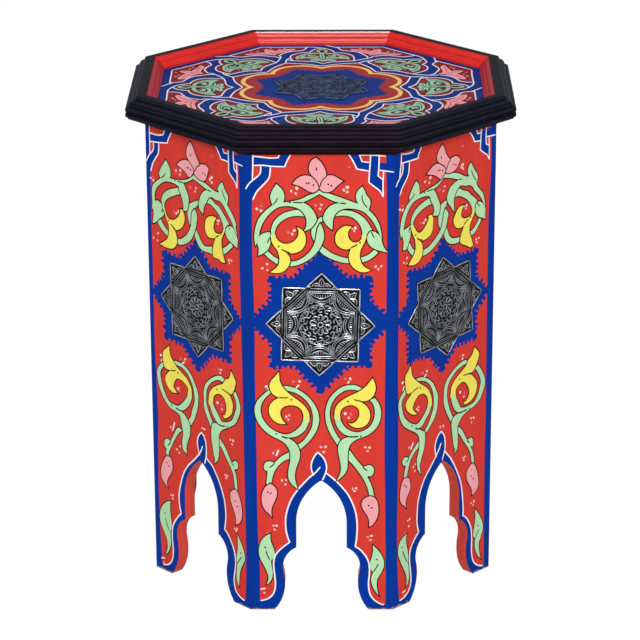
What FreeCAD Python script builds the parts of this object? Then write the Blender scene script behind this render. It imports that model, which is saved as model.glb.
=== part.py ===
import FreeCAD, Part
import math
import os
import Sketcher

# Eight-sided painted side table in millimetres: +Z up, origin on the floor under the middle of the top.
# Every piece of a side is built facing the front (-Y) and is then turned about Z to its own side.

SIDES = 8
STEP_ANGLE = 360 / SIDES
HALF_ANGLE = STEP_ANGLE / 2

# Driving dimensions in millimetres, and one angle in degrees
SIZES = {
    # the eight side boards
    "body_across_flats": 350,
    "panel_thickness": 14,
    "panel_height": 493,
    # the keyhole arch that leaves a foot at each corner
    "arch_half_width": 25.5,
    "arch_apex_height": 143.5,
    "arch_spring_height": 97,
    "cusp_height": 69.5,
    "lobe_half_width": 39.2,
    "lobe_height": 48,
    "foot_radius": 47.4,
    "foot_turn_angle": 14.5,
    # the board that closes the top, and the mouldings round it
    "board_thickness": 10,
    "rim_width": 19.5,
    "rim_height": 22.9,
    "rim_lap": 0.3,
    "tray_slope_width": 11.5,
    # the battens and glue blocks inside
    "cleat_width": 20,
    "cleat_height": 20,
    "block_leg": 24,
    "block_height": 90,
    "block_gap": 12,
    # the stamped metal stars
    "plaque_radius": 54.5,
    "plaque_thickness": 0.8,
    "plaque_height": 310.5,
    "top_plaque_radius": 52,
    # plaque pins
    "pin_shank_radius": 0.5,
    "pin_head_radius": 1.1,
    "pin_head_height": 0.5,
    "pin_depth": 7,
    "pin_inset": 6.5,
    # nails
    "nail_shank_radius": 0.9,
    "nail_head_radius": 2.1,
    "nail_head_height": 1,
    "board_nail_spacing": 80,
    "board_nail_length": 32,
    "rim_nail_spacing": 110,
    "rim_nail_height": 7,
    "rim_nail_sinking": 3.5,
    "rim_nail_length": 28,
    "cleat_nail_spacing": 50,
    "cleat_nail_length": 29,
    "nail_clearance": 0.05,
    # how far every cut runs past the wood
    "overrun": 2,
}

# How far each hand-set star is turned on its side, in degrees, from the front side anticlockwise
PLAQUE_TURNS = (-1.5, 4.3, 1.0, -2.0, 2.5, -1.0, 1.5, 0.9)
TOP_PLAQUE_TURN = 24.5

# Black rim section: each row is a corner as shares of the rim's width and height, and the bulge of the
# edge that ends there as a share of the width, nought for a straight edge
RIM_SECTION_SHARES = (
    (0.320, 1.000, 0.000),
    (0.482, 0.876, 0.045),
    (0.482, 0.829, 0.000),
    (0.508, 0.829, 0.000),
    (0.780, 0.629, 0.060),
    (0.780, 0.600, 0.000),
    (0.862, 0.600, 0.000),
    (0.862, 0.333, 0.134),
    (0.862, 0.067, 0.137),
    (0.830, 0.000, 0.000),
)

# Red inner slope section, in the same way, from the painted field up to the crest
TRAY_SECTION_SHARES = (
    (0.000, 0.200, 0.000),
    (0.090, 0.240, 0.000),
    (0.330, 0.500, 0.030),
    (0.400, 0.520, 0.000),
    (0.400, 0.620, 0.000),
    (0.720, 0.880, 0.035),
    (0.800, 0.900, 0.000),
    (0.840, 1.000, 0.000),
)

# Lengths that several pieces share, as formulas on the sheet's cells
EDGE_SHARE = f"tan({HALF_ANGLE})"
OUTER = "(sizes.body_across_flats / 2)"
INNER = f"({OUTER} - sizes.panel_thickness)"
PANEL_MIDDLE = f"({OUTER} - sizes.panel_thickness / 2)"
CLEAT_INNER = f"({INNER} - sizes.cleat_width)"
FIELD = f"({OUTER} - sizes.tray_slope_width)"
BOARD_BOTTOM = "sizes.panel_height"
BOARD_TOP = f"({BOARD_BOTTOM} + sizes.board_thickness)"
RIM_BOTTOM = f"({BOARD_BOTTOM} - sizes.rim_lap)"
TRAY_SLOPE_HEIGHT = "(sizes.rim_height - sizes.rim_lap - sizes.board_thickness)"
CLEAT_BOTTOM = "(sizes.panel_height - sizes.cleat_height)"
BLOCK_BOTTOM = f"({CLEAT_BOTTOM} - sizes.block_gap - sizes.block_height)"
NAIL_HOLE = "(sizes.nail_shank_radius + sizes.nail_clearance)"
HEAD_HOLE = "(sizes.nail_head_radius + sizes.nail_clearance)"
PIN_HOLE = "(sizes.pin_shank_radius + sizes.nail_clearance)"
RIM_NAIL_LEVEL = f"({RIM_BOTTOM} + sizes.rim_nail_height)"
CLEAT_NAIL_LEVEL = f"({CLEAT_BOTTOM} + sizes.cleat_height / 2)"
RIM_NAIL_SEAT = f"({OUTER} + sizes.rim_width - sizes.rim_nail_sinking - sizes.nail_head_height)"


def size_sheet(doc):
    """Writes the driving dimensions into one spreadsheet, a name and a number a row."""
    sheet = doc.addObject("Spreadsheet::Sheet", "sizes")
    for row, (name, value) in enumerate(SIZES.items(), start=1):
        sheet.set(f"A{row}", name)
        sheet.set(f"B{row}", str(value))
        sheet.setAlias(f"B{row}", name)
    doc.recompute()


def value_of(owner, formula):
    """Works a formula out, so that a sketch is drawn near its final shape."""
    return float(owner.evalExpression(str(formula)))


def new_body(doc, name, turn=0):
    """Starts a piece that is built facing the front and turned about Z."""
    body = doc.addObject("PartDesign::Body", name)
    body.Label = name
    body.AllowCompound = True
    body.Placement = FreeCAD.Placement(FreeCAD.Vector(), FreeCAD.Rotation(FreeCAD.Vector(0, 0, 1), turn))
    return body


def new_sketch(body, name, role, offset="0"):
    """Lays a sketch on one of the piece's own planes, moved along the plane's normal."""
    sketch = body.newObject("Sketcher::SketchObject", name)
    plane = [item for item in body.Origin.OriginFeatures if item.Role == role][0]
    sketch.AttachmentSupport = [(plane, "")]
    sketch.MapMode = "FlatFace"
    sketch.setExpression(".AttachmentOffset.Base.z", offset)
    return sketch


def fix(sketch, kind, *place_and_formula):
    """Adds one dimension to a sketch and binds it to its formula."""
    *place, formula = place_and_formula
    index = sketch.addConstraint(Sketcher.Constraint(kind, *place, value_of(sketch, formula)))
    sketch.setExpression(f"Constraints[{index}]", formula)


def arc_between(start, end, radius, side):
    """The short arc from start to end; side 1 keeps its centre on the left of the way."""
    way = end - start
    middle = (start + end) / 2
    left = FreeCAD.Vector(-way.y, way.x, 0).normalize()
    reach = math.sqrt(radius ** 2 - (way.Length / 2) ** 2)
    centre = middle + left * reach * side
    first, last = (start, end) if side > 0 else (end, start)
    first_angle = math.atan2(first.y - centre.y, first.x - centre.x)
    last_angle = math.atan2(last.y - centre.y, last.x - centre.x)
    circle = Part.Circle(centre, FreeCAD.Vector(0, 0, 1), radius)
    return Part.ArcOfCircle(circle, first_angle, last_angle)


def draw_outline(sketch, corners):
    """Draws a closed outline. A corner is (x, y), or (x, y, radius, side) where an arc ends there."""
    points = [FreeCAD.Vector(value_of(sketch, c[0]), value_of(sketch, c[1]), 0) for c in corners]
    ends = []
    for index, corner in enumerate(corners):
        start, end = points[index - 1], points[index]
        if len(corner) == 2:
            edge = sketch.addGeometry(Part.LineSegment(start, end), False)
            ends.append((edge, 1, 2))
            continue
        radius, side = corner[2:]
        edge = sketch.addGeometry(arc_between(start, end, value_of(sketch, radius), side), False)
        ends.append((edge, 1, 2) if side > 0 else (edge, 2, 1))
    for index, (edge, _, tail) in enumerate(ends):
        following, head, _ = ends[(index + 1) % len(ends)]
        sketch.addConstraint(Sketcher.Constraint("Coincident", edge, tail, following, head))
        fix(sketch, "DistanceX", -1, 1, edge, tail, corners[index][0])
        fix(sketch, "DistanceY", -1, 1, edge, tail, corners[index][1])
        if len(corners[index]) > 2:
            fix(sketch, "Radius", edge, corners[index][2])


def draw_circles(sketch, centres, radius):
    """Draws equal circles round a list of (x, y) centres."""
    size = value_of(sketch, radius)
    for x, y in centres:
        centre = FreeCAD.Vector(value_of(sketch, x), value_of(sketch, y), 0)
        edge = sketch.addGeometry(Part.Circle(centre, FreeCAD.Vector(0, 0, 1), size), False)
        fix(sketch, "DistanceX", -1, 1, edge, 3, x)
        fix(sketch, "DistanceY", -1, 1, edge, 3, y)
        fix(sketch, "Radius", edge, radius)


def pad(body, sketch, name, length, away=True):
    """Raises a sketch along its normal, or against it."""
    feature = body.newObject("PartDesign::Pad", name)
    feature.Profile = sketch
    feature.Reversed = not away
    feature.setExpression("Length", length)
    return feature


def pocket(body, sketch, name, depth=None, inward=True):
    """Cuts a sketch against its normal, or along it; with no depth it cuts both ways, all through."""
    feature = body.newObject("PartDesign::Pocket", name)
    feature.Profile = sketch
    feature.Reversed = not inward
    if depth is None:
        feature.Type = "ThroughAll"
        feature.Midplane = True
    else:
        feature.setExpression("Length", depth)
    return feature


def trapezoid(near, far):
    """The plan of a strip along the front side with mitred ends, between two distances from the axis."""
    return [
        (f"-{near} * {EDGE_SHARE}", f"-{near}"),
        (f"-{far} * {EDGE_SHARE}", f"-{far}"),
        (f"{far} * {EDGE_SHARE}", f"-{far}"),
        (f"{near} * {EDGE_SHARE}", f"-{near}"),
    ]


def arch_outline():
    """The keyhole arch: a pointed head, a cusp, a round lobe and the inside curve of the feet."""
    lobe_run = "(sizes.lobe_half_width - sizes.arch_half_width)"
    lobe_rise = "(sizes.cusp_height - sizes.lobe_height)"
    lobe_radius = f"(({lobe_run} ^ 2 + {lobe_rise} ^ 2) / (2 * {lobe_run}))"
    lobe_centre = f"(sizes.lobe_half_width - {lobe_radius})"
    turn_cosine = "cos(sizes.foot_turn_angle)"
    turn_sine = "sin(sizes.foot_turn_angle)"
    turn_x = f"({lobe_centre} + {lobe_radius} * {turn_cosine})"
    turn_z = f"(sizes.lobe_height - {lobe_radius} * {turn_sine})"
    foot_centre_x = f"({turn_x} + sizes.foot_radius * {turn_cosine})"
    foot_centre_z = f"({turn_z} - sizes.foot_radius * {turn_sine})"
    foot_x = f"({foot_centre_x} - sqrt(sizes.foot_radius ^ 2 - {foot_centre_z} ^ 2))"
    head_rise = "(sizes.arch_apex_height - sizes.arch_spring_height)"
    head_radius = f"((sizes.arch_half_width ^ 2 + {head_rise} ^ 2) / (2 * sizes.arch_half_width))"
    return [
        ("0 - " + foot_x, "0 - sizes.overrun"),
        (foot_x, "0 - sizes.overrun"),
        (foot_x, "0"),
        (turn_x, turn_z, "sizes.foot_radius", -1),
        ("sizes.arch_half_width", "sizes.cusp_height", lobe_radius, 1),
        ("sizes.arch_half_width", "sizes.arch_spring_height"),
        ("0", "sizes.arch_apex_height", head_radius, 1),
        ("0 - sizes.arch_half_width", "sizes.arch_spring_height", head_radius, 1),
        ("0 - sizes.arch_half_width", "sizes.cusp_height"),
        ("0 - " + turn_x, turn_z, lobe_radius, 1),
        ("0 - " + foot_x, "0", "sizes.foot_radius", -1),
    ]


def section_corners(shares, width, height, near, base):
    """The corners of a moulding's section, from its shares of a width and a height.

    The strip is seen from its +X end, so outward is to the left: x is minus the distance from the axis.
    """
    corners = []
    previous = None
    for across, up, bulge in shares:
        corner = (f"(0 - {near} - {width} * {across})", f"({base} + {height} * {up})")
        if bulge:
            run = f"({width} * {across - previous[0]})"
            rise = f"({height} * {up - previous[1]})"
            sag = f"({width} * {bulge})"
            radius = f"((({run} ^ 2 + {rise} ^ 2) / 4 + {sag} ^ 2) / (2 * {sag}))"
            corner += (radius, 1)
        corners.append(corner)
        previous = (across, up)
    return corners


def star_outline(radius):
    """Two squares laid across each other: eight points and the eight corners between them."""
    notch_share = math.cos(math.radians(STEP_ANGLE)) / math.cos(math.radians(HALF_ANGLE))
    corners = []
    for step in range(2 * SIDES):
        reach = radius if step % 2 == 0 else f"{radius} * {notch_share}"
        corners.append((f"{reach} * cos({step * HALF_ANGLE})", f"{reach} * sin({step * HALF_ANGLE})"))
    return corners


def pin_places(radius, turn=0, centre="0"):
    """One pin just inside each point of a star."""
    reach = f"({radius} - sizes.pin_inset)"
    places = []
    for step in range(SIDES):
        angle = step * STEP_ANGLE + turn
        places.append((f"{reach} * cos({angle})", f"{centre} + {reach} * sin({angle})"))
    return places


def board_nail_places():
    """The nails of the top, straight above the middle of a side board's upper edge."""
    half = "(sizes.board_nail_spacing / 2)"
    return [("0 - " + half, "0 - " + PANEL_MIDDLE), (half, "0 - " + PANEL_MIDDLE)]


def rim_nail_places():
    """The nails of a rim strip, farther apart than the nails of the top that they pass."""
    half = "(sizes.rim_nail_spacing / 2)"
    return [("0 - " + half, RIM_NAIL_LEVEL), (half, RIM_NAIL_LEVEL)]


def cleat_nail_places():
    """The nails of a batten, closer together than the nails of the top that they pass."""
    half = "(sizes.cleat_nail_spacing / 2)"
    return [("0 - " + half, CLEAT_NAIL_LEVEL), (half, CLEAT_NAIL_LEVEL)]


def copies(doc, name, master):
    """The same piece on the other seven sides."""
    pieces = [master]
    for side in range(1, SIDES):
        pieces.append(copy_of(doc, f"{name}_{side + 1}", master, side * STEP_ANGLE))
    return pieces


def copy_of(doc, name, master, turn):
    """A piece that starts as the same shape as another."""
    body = new_body(doc, name, turn)
    clone = body.newObject("PartDesign::FeatureBase", "same_as_first")
    clone.BaseFeature = master
    return body


def panel_blank(doc):
    """A mitred board with the arch sawn out and bored for its nails."""
    body = new_body(doc, "panel_blank")
    plan = new_sketch(body, "panel_plan", "XY_Plane")
    draw_outline(plan, trapezoid(INNER, OUTER))
    pad(body, plan, "panel_board", "sizes.panel_height")
    arch = new_sketch(body, "arch_outline", "XZ_Plane")
    draw_outline(arch, arch_outline())
    pocket(body, arch, "arch")
    edge = new_sketch(body, "board_nail_holes_plan", "XY_Plane", "sizes.panel_height")
    draw_circles(edge, board_nail_places(), NAIL_HOLE)
    pocket(body, edge, "board_nail_holes", "sizes.board_nail_length - sizes.board_thickness")
    inside = new_sketch(body, "cleat_nail_holes_plan", "XZ_Plane", INNER)
    draw_circles(inside, cleat_nail_places(), NAIL_HOLE)
    pocket(body, inside, "cleat_nail_holes", "sizes.cleat_nail_length - sizes.cleat_width", inward=False)
    return body


def side_panel(doc, side, blank):
    """A side board, bored for the pins of its own star."""
    body = copy_of(doc, f"side_panel_{side + 1}", blank, side * STEP_ANGLE)
    pins = new_sketch(body, "pin_holes_plan", "XZ_Plane", OUTER)
    places = pin_places("sizes.plaque_radius", PLAQUE_TURNS[side], "sizes.plaque_height")
    draw_circles(pins, places, PIN_HOLE)
    pocket(body, pins, "pin_holes", "sizes.pin_depth")
    return body


def top_board(doc):
    """The flat board under the painted field, bored for every nail and pin that enters it."""
    body = new_body(doc, "top_board")
    plan = new_sketch(body, "board_plan", "XY_Plane", BOARD_BOTTOM)
    corner = f"{OUTER} / cos({HALF_ANGLE})"
    corners = []
    for step in range(SIDES):
        angle = f"({step * STEP_ANGLE + HALF_ANGLE})"
        corners.append((f"{corner} * cos{angle}", f"{corner} * sin{angle}"))
    draw_outline(plan, corners)
    pad(body, plan, "board", "sizes.board_thickness")
    pins = new_sketch(body, "pin_holes_plan", "XY_Plane", BOARD_TOP)
    draw_circles(pins, pin_places("sizes.top_plaque_radius", TOP_PLAQUE_TURN), PIN_HOLE)
    pocket(body, pins, "pin_holes", "sizes.pin_depth")
    shanks = new_sketch(body, "nail_holes_plan", "XY_Plane", BOARD_TOP)
    draw_circles(shanks, board_nail_places(), NAIL_HOLE)
    nail_holes = pocket(body, shanks, "nail_holes", "sizes.board_thickness")
    heads = new_sketch(body, "head_sinks_plan", "XY_Plane", BOARD_TOP)
    draw_circles(heads, board_nail_places(), HEAD_HOLE)
    head_sinks = pocket(body, heads, "head_sinks", "sizes.nail_head_height")
    edge = new_sketch(body, "rim_nail_holes_plan", "XZ_Plane", OUTER)
    draw_circles(edge, rim_nail_places(), NAIL_HOLE)
    rim_holes = pocket(body, edge, "rim_nail_holes", f"sizes.rim_nail_length - ({RIM_NAIL_SEAT} - {OUTER})")
    doc.recompute()
    pattern = body.newObject("PartDesign::PolarPattern", "holes_round")
    pattern.Originals = [nail_holes, head_sinks, rim_holes]
    pattern.Axis = (plan, ["N_Axis"])
    pattern.Angle = 360
    pattern.Occurrences = SIDES
    body.Tip = pattern
    return body


def rim_moulding(doc):
    """A strip of the black rim: a flat top, two steps down and two reeds on its face."""
    body = new_body(doc, "rim_moulding_1")
    plan = new_sketch(body, "strip_plan", "XY_Plane", RIM_BOTTOM)
    far = f"({OUTER} + sizes.rim_width + sizes.overrun)"
    draw_outline(plan, trapezoid(OUTER, far))
    pad(body, plan, "strip", "sizes.rim_height")
    section = new_sketch(body, "waste_section", "YZ_Plane")
    corners = section_corners(RIM_SECTION_SHARES, "sizes.rim_width", "sizes.rim_height", OUTER, RIM_BOTTOM)
    outside = f"(0 - {far} - sizes.overrun)"
    above = f"({RIM_BOTTOM} + sizes.rim_height + sizes.overrun)"
    below = f"({RIM_BOTTOM} - sizes.overrun)"
    waste = [(outside, below), (outside, above), (corners[0][0], above), *corners, (corners[-1][0], below)]
    draw_outline(section, waste)
    pocket(body, section, "moulded_face")
    shanks = new_sketch(body, "nail_holes_plan", "XZ_Plane", OUTER)
    draw_circles(shanks, rim_nail_places(), NAIL_HOLE)
    pocket(body, shanks, "nail_holes", far, inward=False)
    heads = new_sketch(body, "head_sinks_plan", "XZ_Plane", RIM_NAIL_SEAT)
    draw_circles(heads, rim_nail_places(), HEAD_HOLE)
    pocket(body, heads, "head_sinks", "sizes.rim_width", inward=False)
    return body


def tray_moulding(doc):
    """A strip of the red stepped slope between the painted field and the rim's crest."""
    body = new_body(doc, "tray_moulding_1")
    plan = new_sketch(body, "strip_plan", "XY_Plane", BOARD_TOP)
    draw_outline(plan, trapezoid(FIELD, OUTER))
    pad(body, plan, "strip", TRAY_SLOPE_HEIGHT)
    section = new_sketch(body, "waste_section", "YZ_Plane")
    width = "sizes.tray_slope_width"
    corners = section_corners(TRAY_SECTION_SHARES, width, TRAY_SLOPE_HEIGHT, FIELD, BOARD_TOP)
    inside = f"(0 - {FIELD} + sizes.overrun)"
    above = f"({BOARD_TOP} + {TRAY_SLOPE_HEIGHT} + sizes.overrun)"
    waste = [(inside, corners[0][1]), *corners, (corners[-1][0], above), (inside, above)]
    draw_outline(section, waste)
    pocket(body, section, "moulded_face")
    return body


def cleat(doc):
    """A batten under the top's edge, nailed to its side board."""
    body = new_body(doc, "top_cleat_1")
    plan = new_sketch(body, "cleat_plan", "XY_Plane", CLEAT_BOTTOM)
    draw_outline(plan, trapezoid(CLEAT_INNER, INNER))
    pad(body, plan, "cleat", "sizes.cleat_height")
    holes = new_sketch(body, "nail_holes_plan", "XZ_Plane", CLEAT_INNER)
    draw_circles(holes, cleat_nail_places(), NAIL_HOLE)
    pocket(body, holes, "nail_holes", "sizes.cleat_width", inward=False)
    return body


def corner_block(doc):
    """A three-sided glue block in the corner between two side boards, drawn round the right-hand one."""
    body = new_body(doc, "corner_block_1")
    plan = new_sketch(body, "block_plan", "XY_Plane", BLOCK_BOTTOM)
    corner_x = f"({INNER} * {EDGE_SHARE})"
    along_own = f"({corner_x} - sizes.block_leg)"
    along_next_x = f"({corner_x} + sizes.block_leg * cos({STEP_ANGLE}))"
    along_next_y = f"(sizes.block_leg * sin({STEP_ANGLE}) - {INNER})"
    draw_outline(plan, [
        (corner_x, "0 - " + INNER),
        (along_next_x, along_next_y),
        (along_own, "0 - " + INNER),
    ])
    pad(body, plan, "block", "sizes.block_height")
    return body


def star_plaque(doc, name, role, radius):
    """A stamped star with a hole at each point, drawn round its own middle."""
    body = new_body(doc, name)
    outline = new_sketch(body, "star_outline", role)
    draw_outline(outline, star_outline(radius))
    pad(body, outline, "star", "sizes.plaque_thickness")
    holes = new_sketch(body, "pin_holes_plan", role)
    draw_circles(holes, pin_places(radius), PIN_HOLE)
    pocket(body, holes, "pin_holes", "sizes.plaque_thickness", inward=False)
    return body


def set_on_side(body, side):
    """Puts a star, or its pins, on the outer face of a side, turned by hand as it was fixed."""
    angle = side * STEP_ANGLE
    upright = FreeCAD.Rotation(FreeCAD.Vector(0, 0, 1), angle)
    turned = FreeCAD.Rotation(FreeCAD.Vector(0, -1, 0), PLAQUE_TURNS[side])
    body.Placement = FreeCAD.Placement(FreeCAD.Vector(), upright.multiply(turned))
    body.setExpression("Placement.Base.x", f"{OUTER} * sin({angle})")
    body.setExpression("Placement.Base.y", f"0 - {OUTER} * cos({angle})")
    body.setExpression("Placement.Base.z", "sizes.plaque_height")


def set_on_top(body):
    """Puts a star, or its pins, on the middle of the painted field."""
    turned = FreeCAD.Rotation(FreeCAD.Vector(0, 0, 1), TOP_PLAQUE_TURN)
    body.Placement = FreeCAD.Placement(FreeCAD.Vector(), turned)
    body.setExpression("Placement.Base.z", BOARD_TOP)


def fasteners(doc, name, role, seat, places, shank, head, outward=True):
    """Headed nails whose shanks run back from the seat and whose heads stand on it.

    shank and head are (radius, length). The seat is the plane under the heads, and outward says
    whether the heads point along the plane's normal.
    """
    body = new_body(doc, name)
    shanks = new_sketch(body, "shanks_plan", role, seat)
    draw_circles(shanks, places, shank[0])
    pad(body, shanks, "shanks", shank[1], away=not outward)
    heads = new_sketch(body, "heads_plan", role, seat)
    draw_circles(heads, places, head[0])
    pad(body, heads, "heads", head[1], away=outward)
    return body


def star_pins(doc, name, role, radius):
    """The eight pins of a star, drawn round the star's own middle."""
    return fasteners(
        doc, name, role, "sizes.plaque_thickness", pin_places(radius),
        ("sizes.pin_shank_radius", "sizes.pin_depth + sizes.plaque_thickness"),
        ("sizes.pin_head_radius", "sizes.pin_head_height"))


def group(doc, name, bodies):
    """Gathers equal fasteners of all sides into one node of separate solids."""
    node = doc.addObject("Part::Compound", name)
    node.Label = name
    node.Links = bodies
    return node


def nails(doc):
    """The nails of the top, the rim and the cleats, each kind as one node."""
    head = ("sizes.nail_head_radius", "sizes.nail_head_height")
    shank_radius = "sizes.nail_shank_radius"
    kinds = {
        "board_nails": fasteners(
            doc, "board_nails_side_1", "XY_Plane", f"{BOARD_TOP} - sizes.nail_head_height",
            board_nail_places(), (shank_radius, "sizes.board_nail_length - sizes.nail_head_height"), head),
        "rim_nails": fasteners(
            doc, "rim_nails_side_1", "XZ_Plane", RIM_NAIL_SEAT, rim_nail_places(),
            (shank_radius, "sizes.rim_nail_length"), head),
        "cleat_nails": fasteners(
            doc, "cleat_nails_side_1", "XZ_Plane", CLEAT_INNER, cleat_nail_places(),
            (shank_radius, "sizes.cleat_nail_length"), head, outward=False),
    }
    return [group(doc, name, copies(doc, f"{name}_side", row)) for name, row in kinds.items()]


def stars(doc):
    """The star on each side and on the top, and their pins."""
    first_star = star_plaque(doc, "star_plaque_1", "XZ_Plane", "sizes.plaque_radius")
    side_stars = copies(doc, "star_plaque", first_star)
    pins = star_pins(doc, "plaque_pins_side_1", "XZ_Plane", "sizes.plaque_radius")
    side_pins = copies(doc, "plaque_pins_side", pins)
    for side in range(SIDES):
        set_on_side(side_stars[side], side)
        set_on_side(side_pins[side], side)
    top_star = star_plaque(doc, "top_star_plaque", "XY_Plane", "sizes.top_plaque_radius")
    top_pins = star_pins(doc, "top_plaque_pins", "XY_Plane", "sizes.top_plaque_radius")
    set_on_top(top_star)
    set_on_top(top_pins)
    return [*side_stars, top_star, group(doc, "plaque_pins", side_pins), top_pins]


def build(doc):
    """Makes every piece and gives the list of nodes to write."""
    blank = panel_blank(doc)
    nodes = [side_panel(doc, side, blank) for side in range(SIDES)]
    nodes.append(top_board(doc))
    nodes.extend(copies(doc, "rim_moulding", rim_moulding(doc)))
    nodes.extend(copies(doc, "tray_moulding", tray_moulding(doc)))
    nodes.extend(copies(doc, "top_cleat", cleat(doc)))
    nodes.extend(copies(doc, "corner_block", corner_block(doc)))
    nodes.extend(stars(doc))
    nodes.extend(nails(doc))
    doc.recompute()
    return nodes


def check(doc, nodes):
    """Stops on any failed object, any cut that removed nothing and any unsound solid."""
    for item in doc.Objects:
        if "Invalid" in item.State or "Error" in item.State:
            raise RuntimeError(f"{item.Label} failed: {item.State}")
        if item.TypeId == "PartDesign::Pocket":
            if item.Shape.Volume >= item.BaseFeature.Shape.Volume:
                raise RuntimeError(f"{item.Label} of {item.getParentGeoFeatureGroup().Label} cuts nothing")
    for node in nodes:
        if node.Shape.isNull() or not node.Shape.isValid():
            raise RuntimeError(f"{node.Label} has no sound shape")


def write(nodes):
    """Writes one file for each node."""
    os.makedirs("parts", exist_ok=True)
    for node in nodes:
        node.Shape.exportStep(f"parts/{node.Label}.step")


def main():
    doc = FreeCAD.newDocument("octagonal_side_table")
    size_sheet(doc)
    nodes = build(doc)
    check(doc, nodes)
    write(nodes)
    print(f"{len(nodes)} nodes, {sum(len(node.Shape.Solids) for node in nodes)} solids")


main()
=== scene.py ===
import math
import random

import bpy
import numpy
from mathutils import Matrix, Vector
from mathutils.geometry import tessellate_polygon


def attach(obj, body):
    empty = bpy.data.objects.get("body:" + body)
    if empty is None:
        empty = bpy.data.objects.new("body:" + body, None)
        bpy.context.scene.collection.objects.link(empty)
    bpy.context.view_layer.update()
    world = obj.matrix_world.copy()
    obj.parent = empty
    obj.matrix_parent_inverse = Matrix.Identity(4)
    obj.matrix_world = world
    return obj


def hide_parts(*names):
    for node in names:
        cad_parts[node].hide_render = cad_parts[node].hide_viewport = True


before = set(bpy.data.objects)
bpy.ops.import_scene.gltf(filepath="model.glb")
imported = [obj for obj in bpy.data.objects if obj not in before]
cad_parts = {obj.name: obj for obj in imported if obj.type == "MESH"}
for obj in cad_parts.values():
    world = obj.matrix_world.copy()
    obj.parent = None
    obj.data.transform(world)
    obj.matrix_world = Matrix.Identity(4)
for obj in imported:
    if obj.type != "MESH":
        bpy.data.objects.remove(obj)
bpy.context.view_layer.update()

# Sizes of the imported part, in millimetres, and the metres in one of them
MM = 0.001
SIDES = 8
STEP = 2 * math.pi / SIDES
APOTHEM = 175.0
CORNER_U = APOTHEM * math.tan(STEP / 2)
PANEL_INSIDE = 161.0
BOARD_TOP = 503.0
RIM_BOTTOM = 492.7
RIM_HEIGHT = 22.9
PLAQUE_Z = 310.5
PLAQUE_RADIUS = 54.5
PLAQUE_THICKNESS = 0.8
PLAQUE_TURNS = (-1.5, 4.3, 1.0, -2.0, 2.5, -1.0, 1.5, 0.9)
TOP_PLAQUE_RADIUS = 52.0
TOP_PLAQUE_TURN = 24.5

# Seeds of the random draws; a side's number is added to those that are drawn side by side
DRIFT_SEED = 40
SWAY_SEED = 70
PANEL_SEED = 100
FIELD_SEED = 300
CORNER_SEED = 500
STAR_SEED = 500
TOP_STAR_SEED = 520
RIM_SEED = 600

# The photograph's viewpoint, fitted to the corners of the rim, field, body and feet
YAW, PITCH, ROLL = -0.0104, 0.3564, -0.0043
EYE = Vector((0.0273, -2.8465, 1.3100))
LENS = 163.1
SENSOR = 36.0
FRAME_PIXELS = 640
FOCAL = LENS / SENSOR * FRAME_PIXELS
FAR_CLIP = 50


# Camera
def view_axes():
    """Right, up and ahead of the camera, as unit vectors."""
    ahead = Vector((math.sin(YAW) * math.cos(PITCH), math.cos(YAW) * math.cos(PITCH), -math.sin(PITCH)))
    right = Vector((math.cos(YAW), -math.sin(YAW), 0))
    up = right.cross(ahead)
    turned_right = math.cos(ROLL) * right + math.sin(ROLL) * up
    turned_up = math.cos(ROLL) * up - math.sin(ROLL) * right
    return turned_right, turned_up, ahead


RIGHT, UP, AHEAD = view_axes()


def add_object(name, data):
    """A new object in the scene: a mesh, the camera or a lamp."""
    item = bpy.data.objects.new(name, data)
    bpy.context.scene.collection.objects.link(item)
    return item


def add_camera():
    """The camera that took the photograph."""
    data = bpy.data.cameras.new("camera")
    data.sensor_width = SENSOR
    data.lens = LENS
    data.clip_end = FAR_CLIP
    camera = add_object("camera", data)
    place = Matrix((RIGHT, UP, -AHEAD)).transposed().to_4x4()
    place.translation = EYE
    camera.matrix_world = place
    bpy.context.scene.camera = camera


def on_panel(side, across, down):
    """Where a pixel of the photograph's frame lies on a side's face: millimetres across and up it."""
    aim = AHEAD + RIGHT * (across - FRAME_PIXELS / 2) / FOCAL + UP * (FRAME_PIXELS / 2 - down) / FOCAL
    outward = Vector((math.sin(side * STEP), -math.cos(side * STEP), 0))
    along = Vector((math.cos(side * STEP), math.sin(side * STEP), 0))
    spot = EYE + aim * (APOTHEM * MM - EYE.dot(outward)) / aim.dot(outward)
    return spot.dot(along) / MM, spot.z / MM


add_camera()
bpy.context.scene.view_settings.view_transform = "Standard"


# Colours, as 8-bit screen values
RED = (222, 64, 54)
EDGE_RED = (234, 86, 74)
BLUE = (5, 56, 155)
FIELD_BLUE = (4, 46, 128)
GREEN = (189, 232, 182)
PINK = (255, 172, 177)
YELLOW = (255, 237, 100)
WHITE = (238, 238, 246)
INK = (26, 13, 9)
LIME = (224, 233, 138)
# Painted shadow: the dark reddish band on the panels under the rim's overhang
RIM_SHADOW = (44, 12, 15)
# The rim's one black paint in two copies tinted by light, a painted light difference: the front strip's and
# the other strips'. Each pair is the black of the grooves and unworn paint, then the paler black of the
# painted sheen on the reeds and of worn paint
FRONT_LIGHT_TINTED_BLACKS = ((19, 14, 22), (42, 33, 44))
OTHER_LIGHT_TINTED_BLACKS = ((20, 21, 30), (34, 35, 46))
BARE_WOOD = (176, 134, 92)
CHIPPED = (150, 138, 132)
DOT_COLOURS = {
    "cream": (250, 222, 196),
    "blush": (244, 186, 190),
    "rose": (236, 110, 140),
    "white": (255, 255, 255),
}


def linear(rgb):
    """An 8-bit screen colour as linear light, by the sRGB curve."""
    out = []
    for value in rgb:
        share = value / 255
        out.append(share / 12.92 if share <= 0.04045 else ((share + 0.055) / 1.055) ** 2.4)
    return (*out, 1.0)


def tinted(rgb, gain):
    """A screen colour's linear light, made paler or darker."""
    return (*(min(1.0, value * gain) for value in linear(rgb)[:3]), 1.0)


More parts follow.
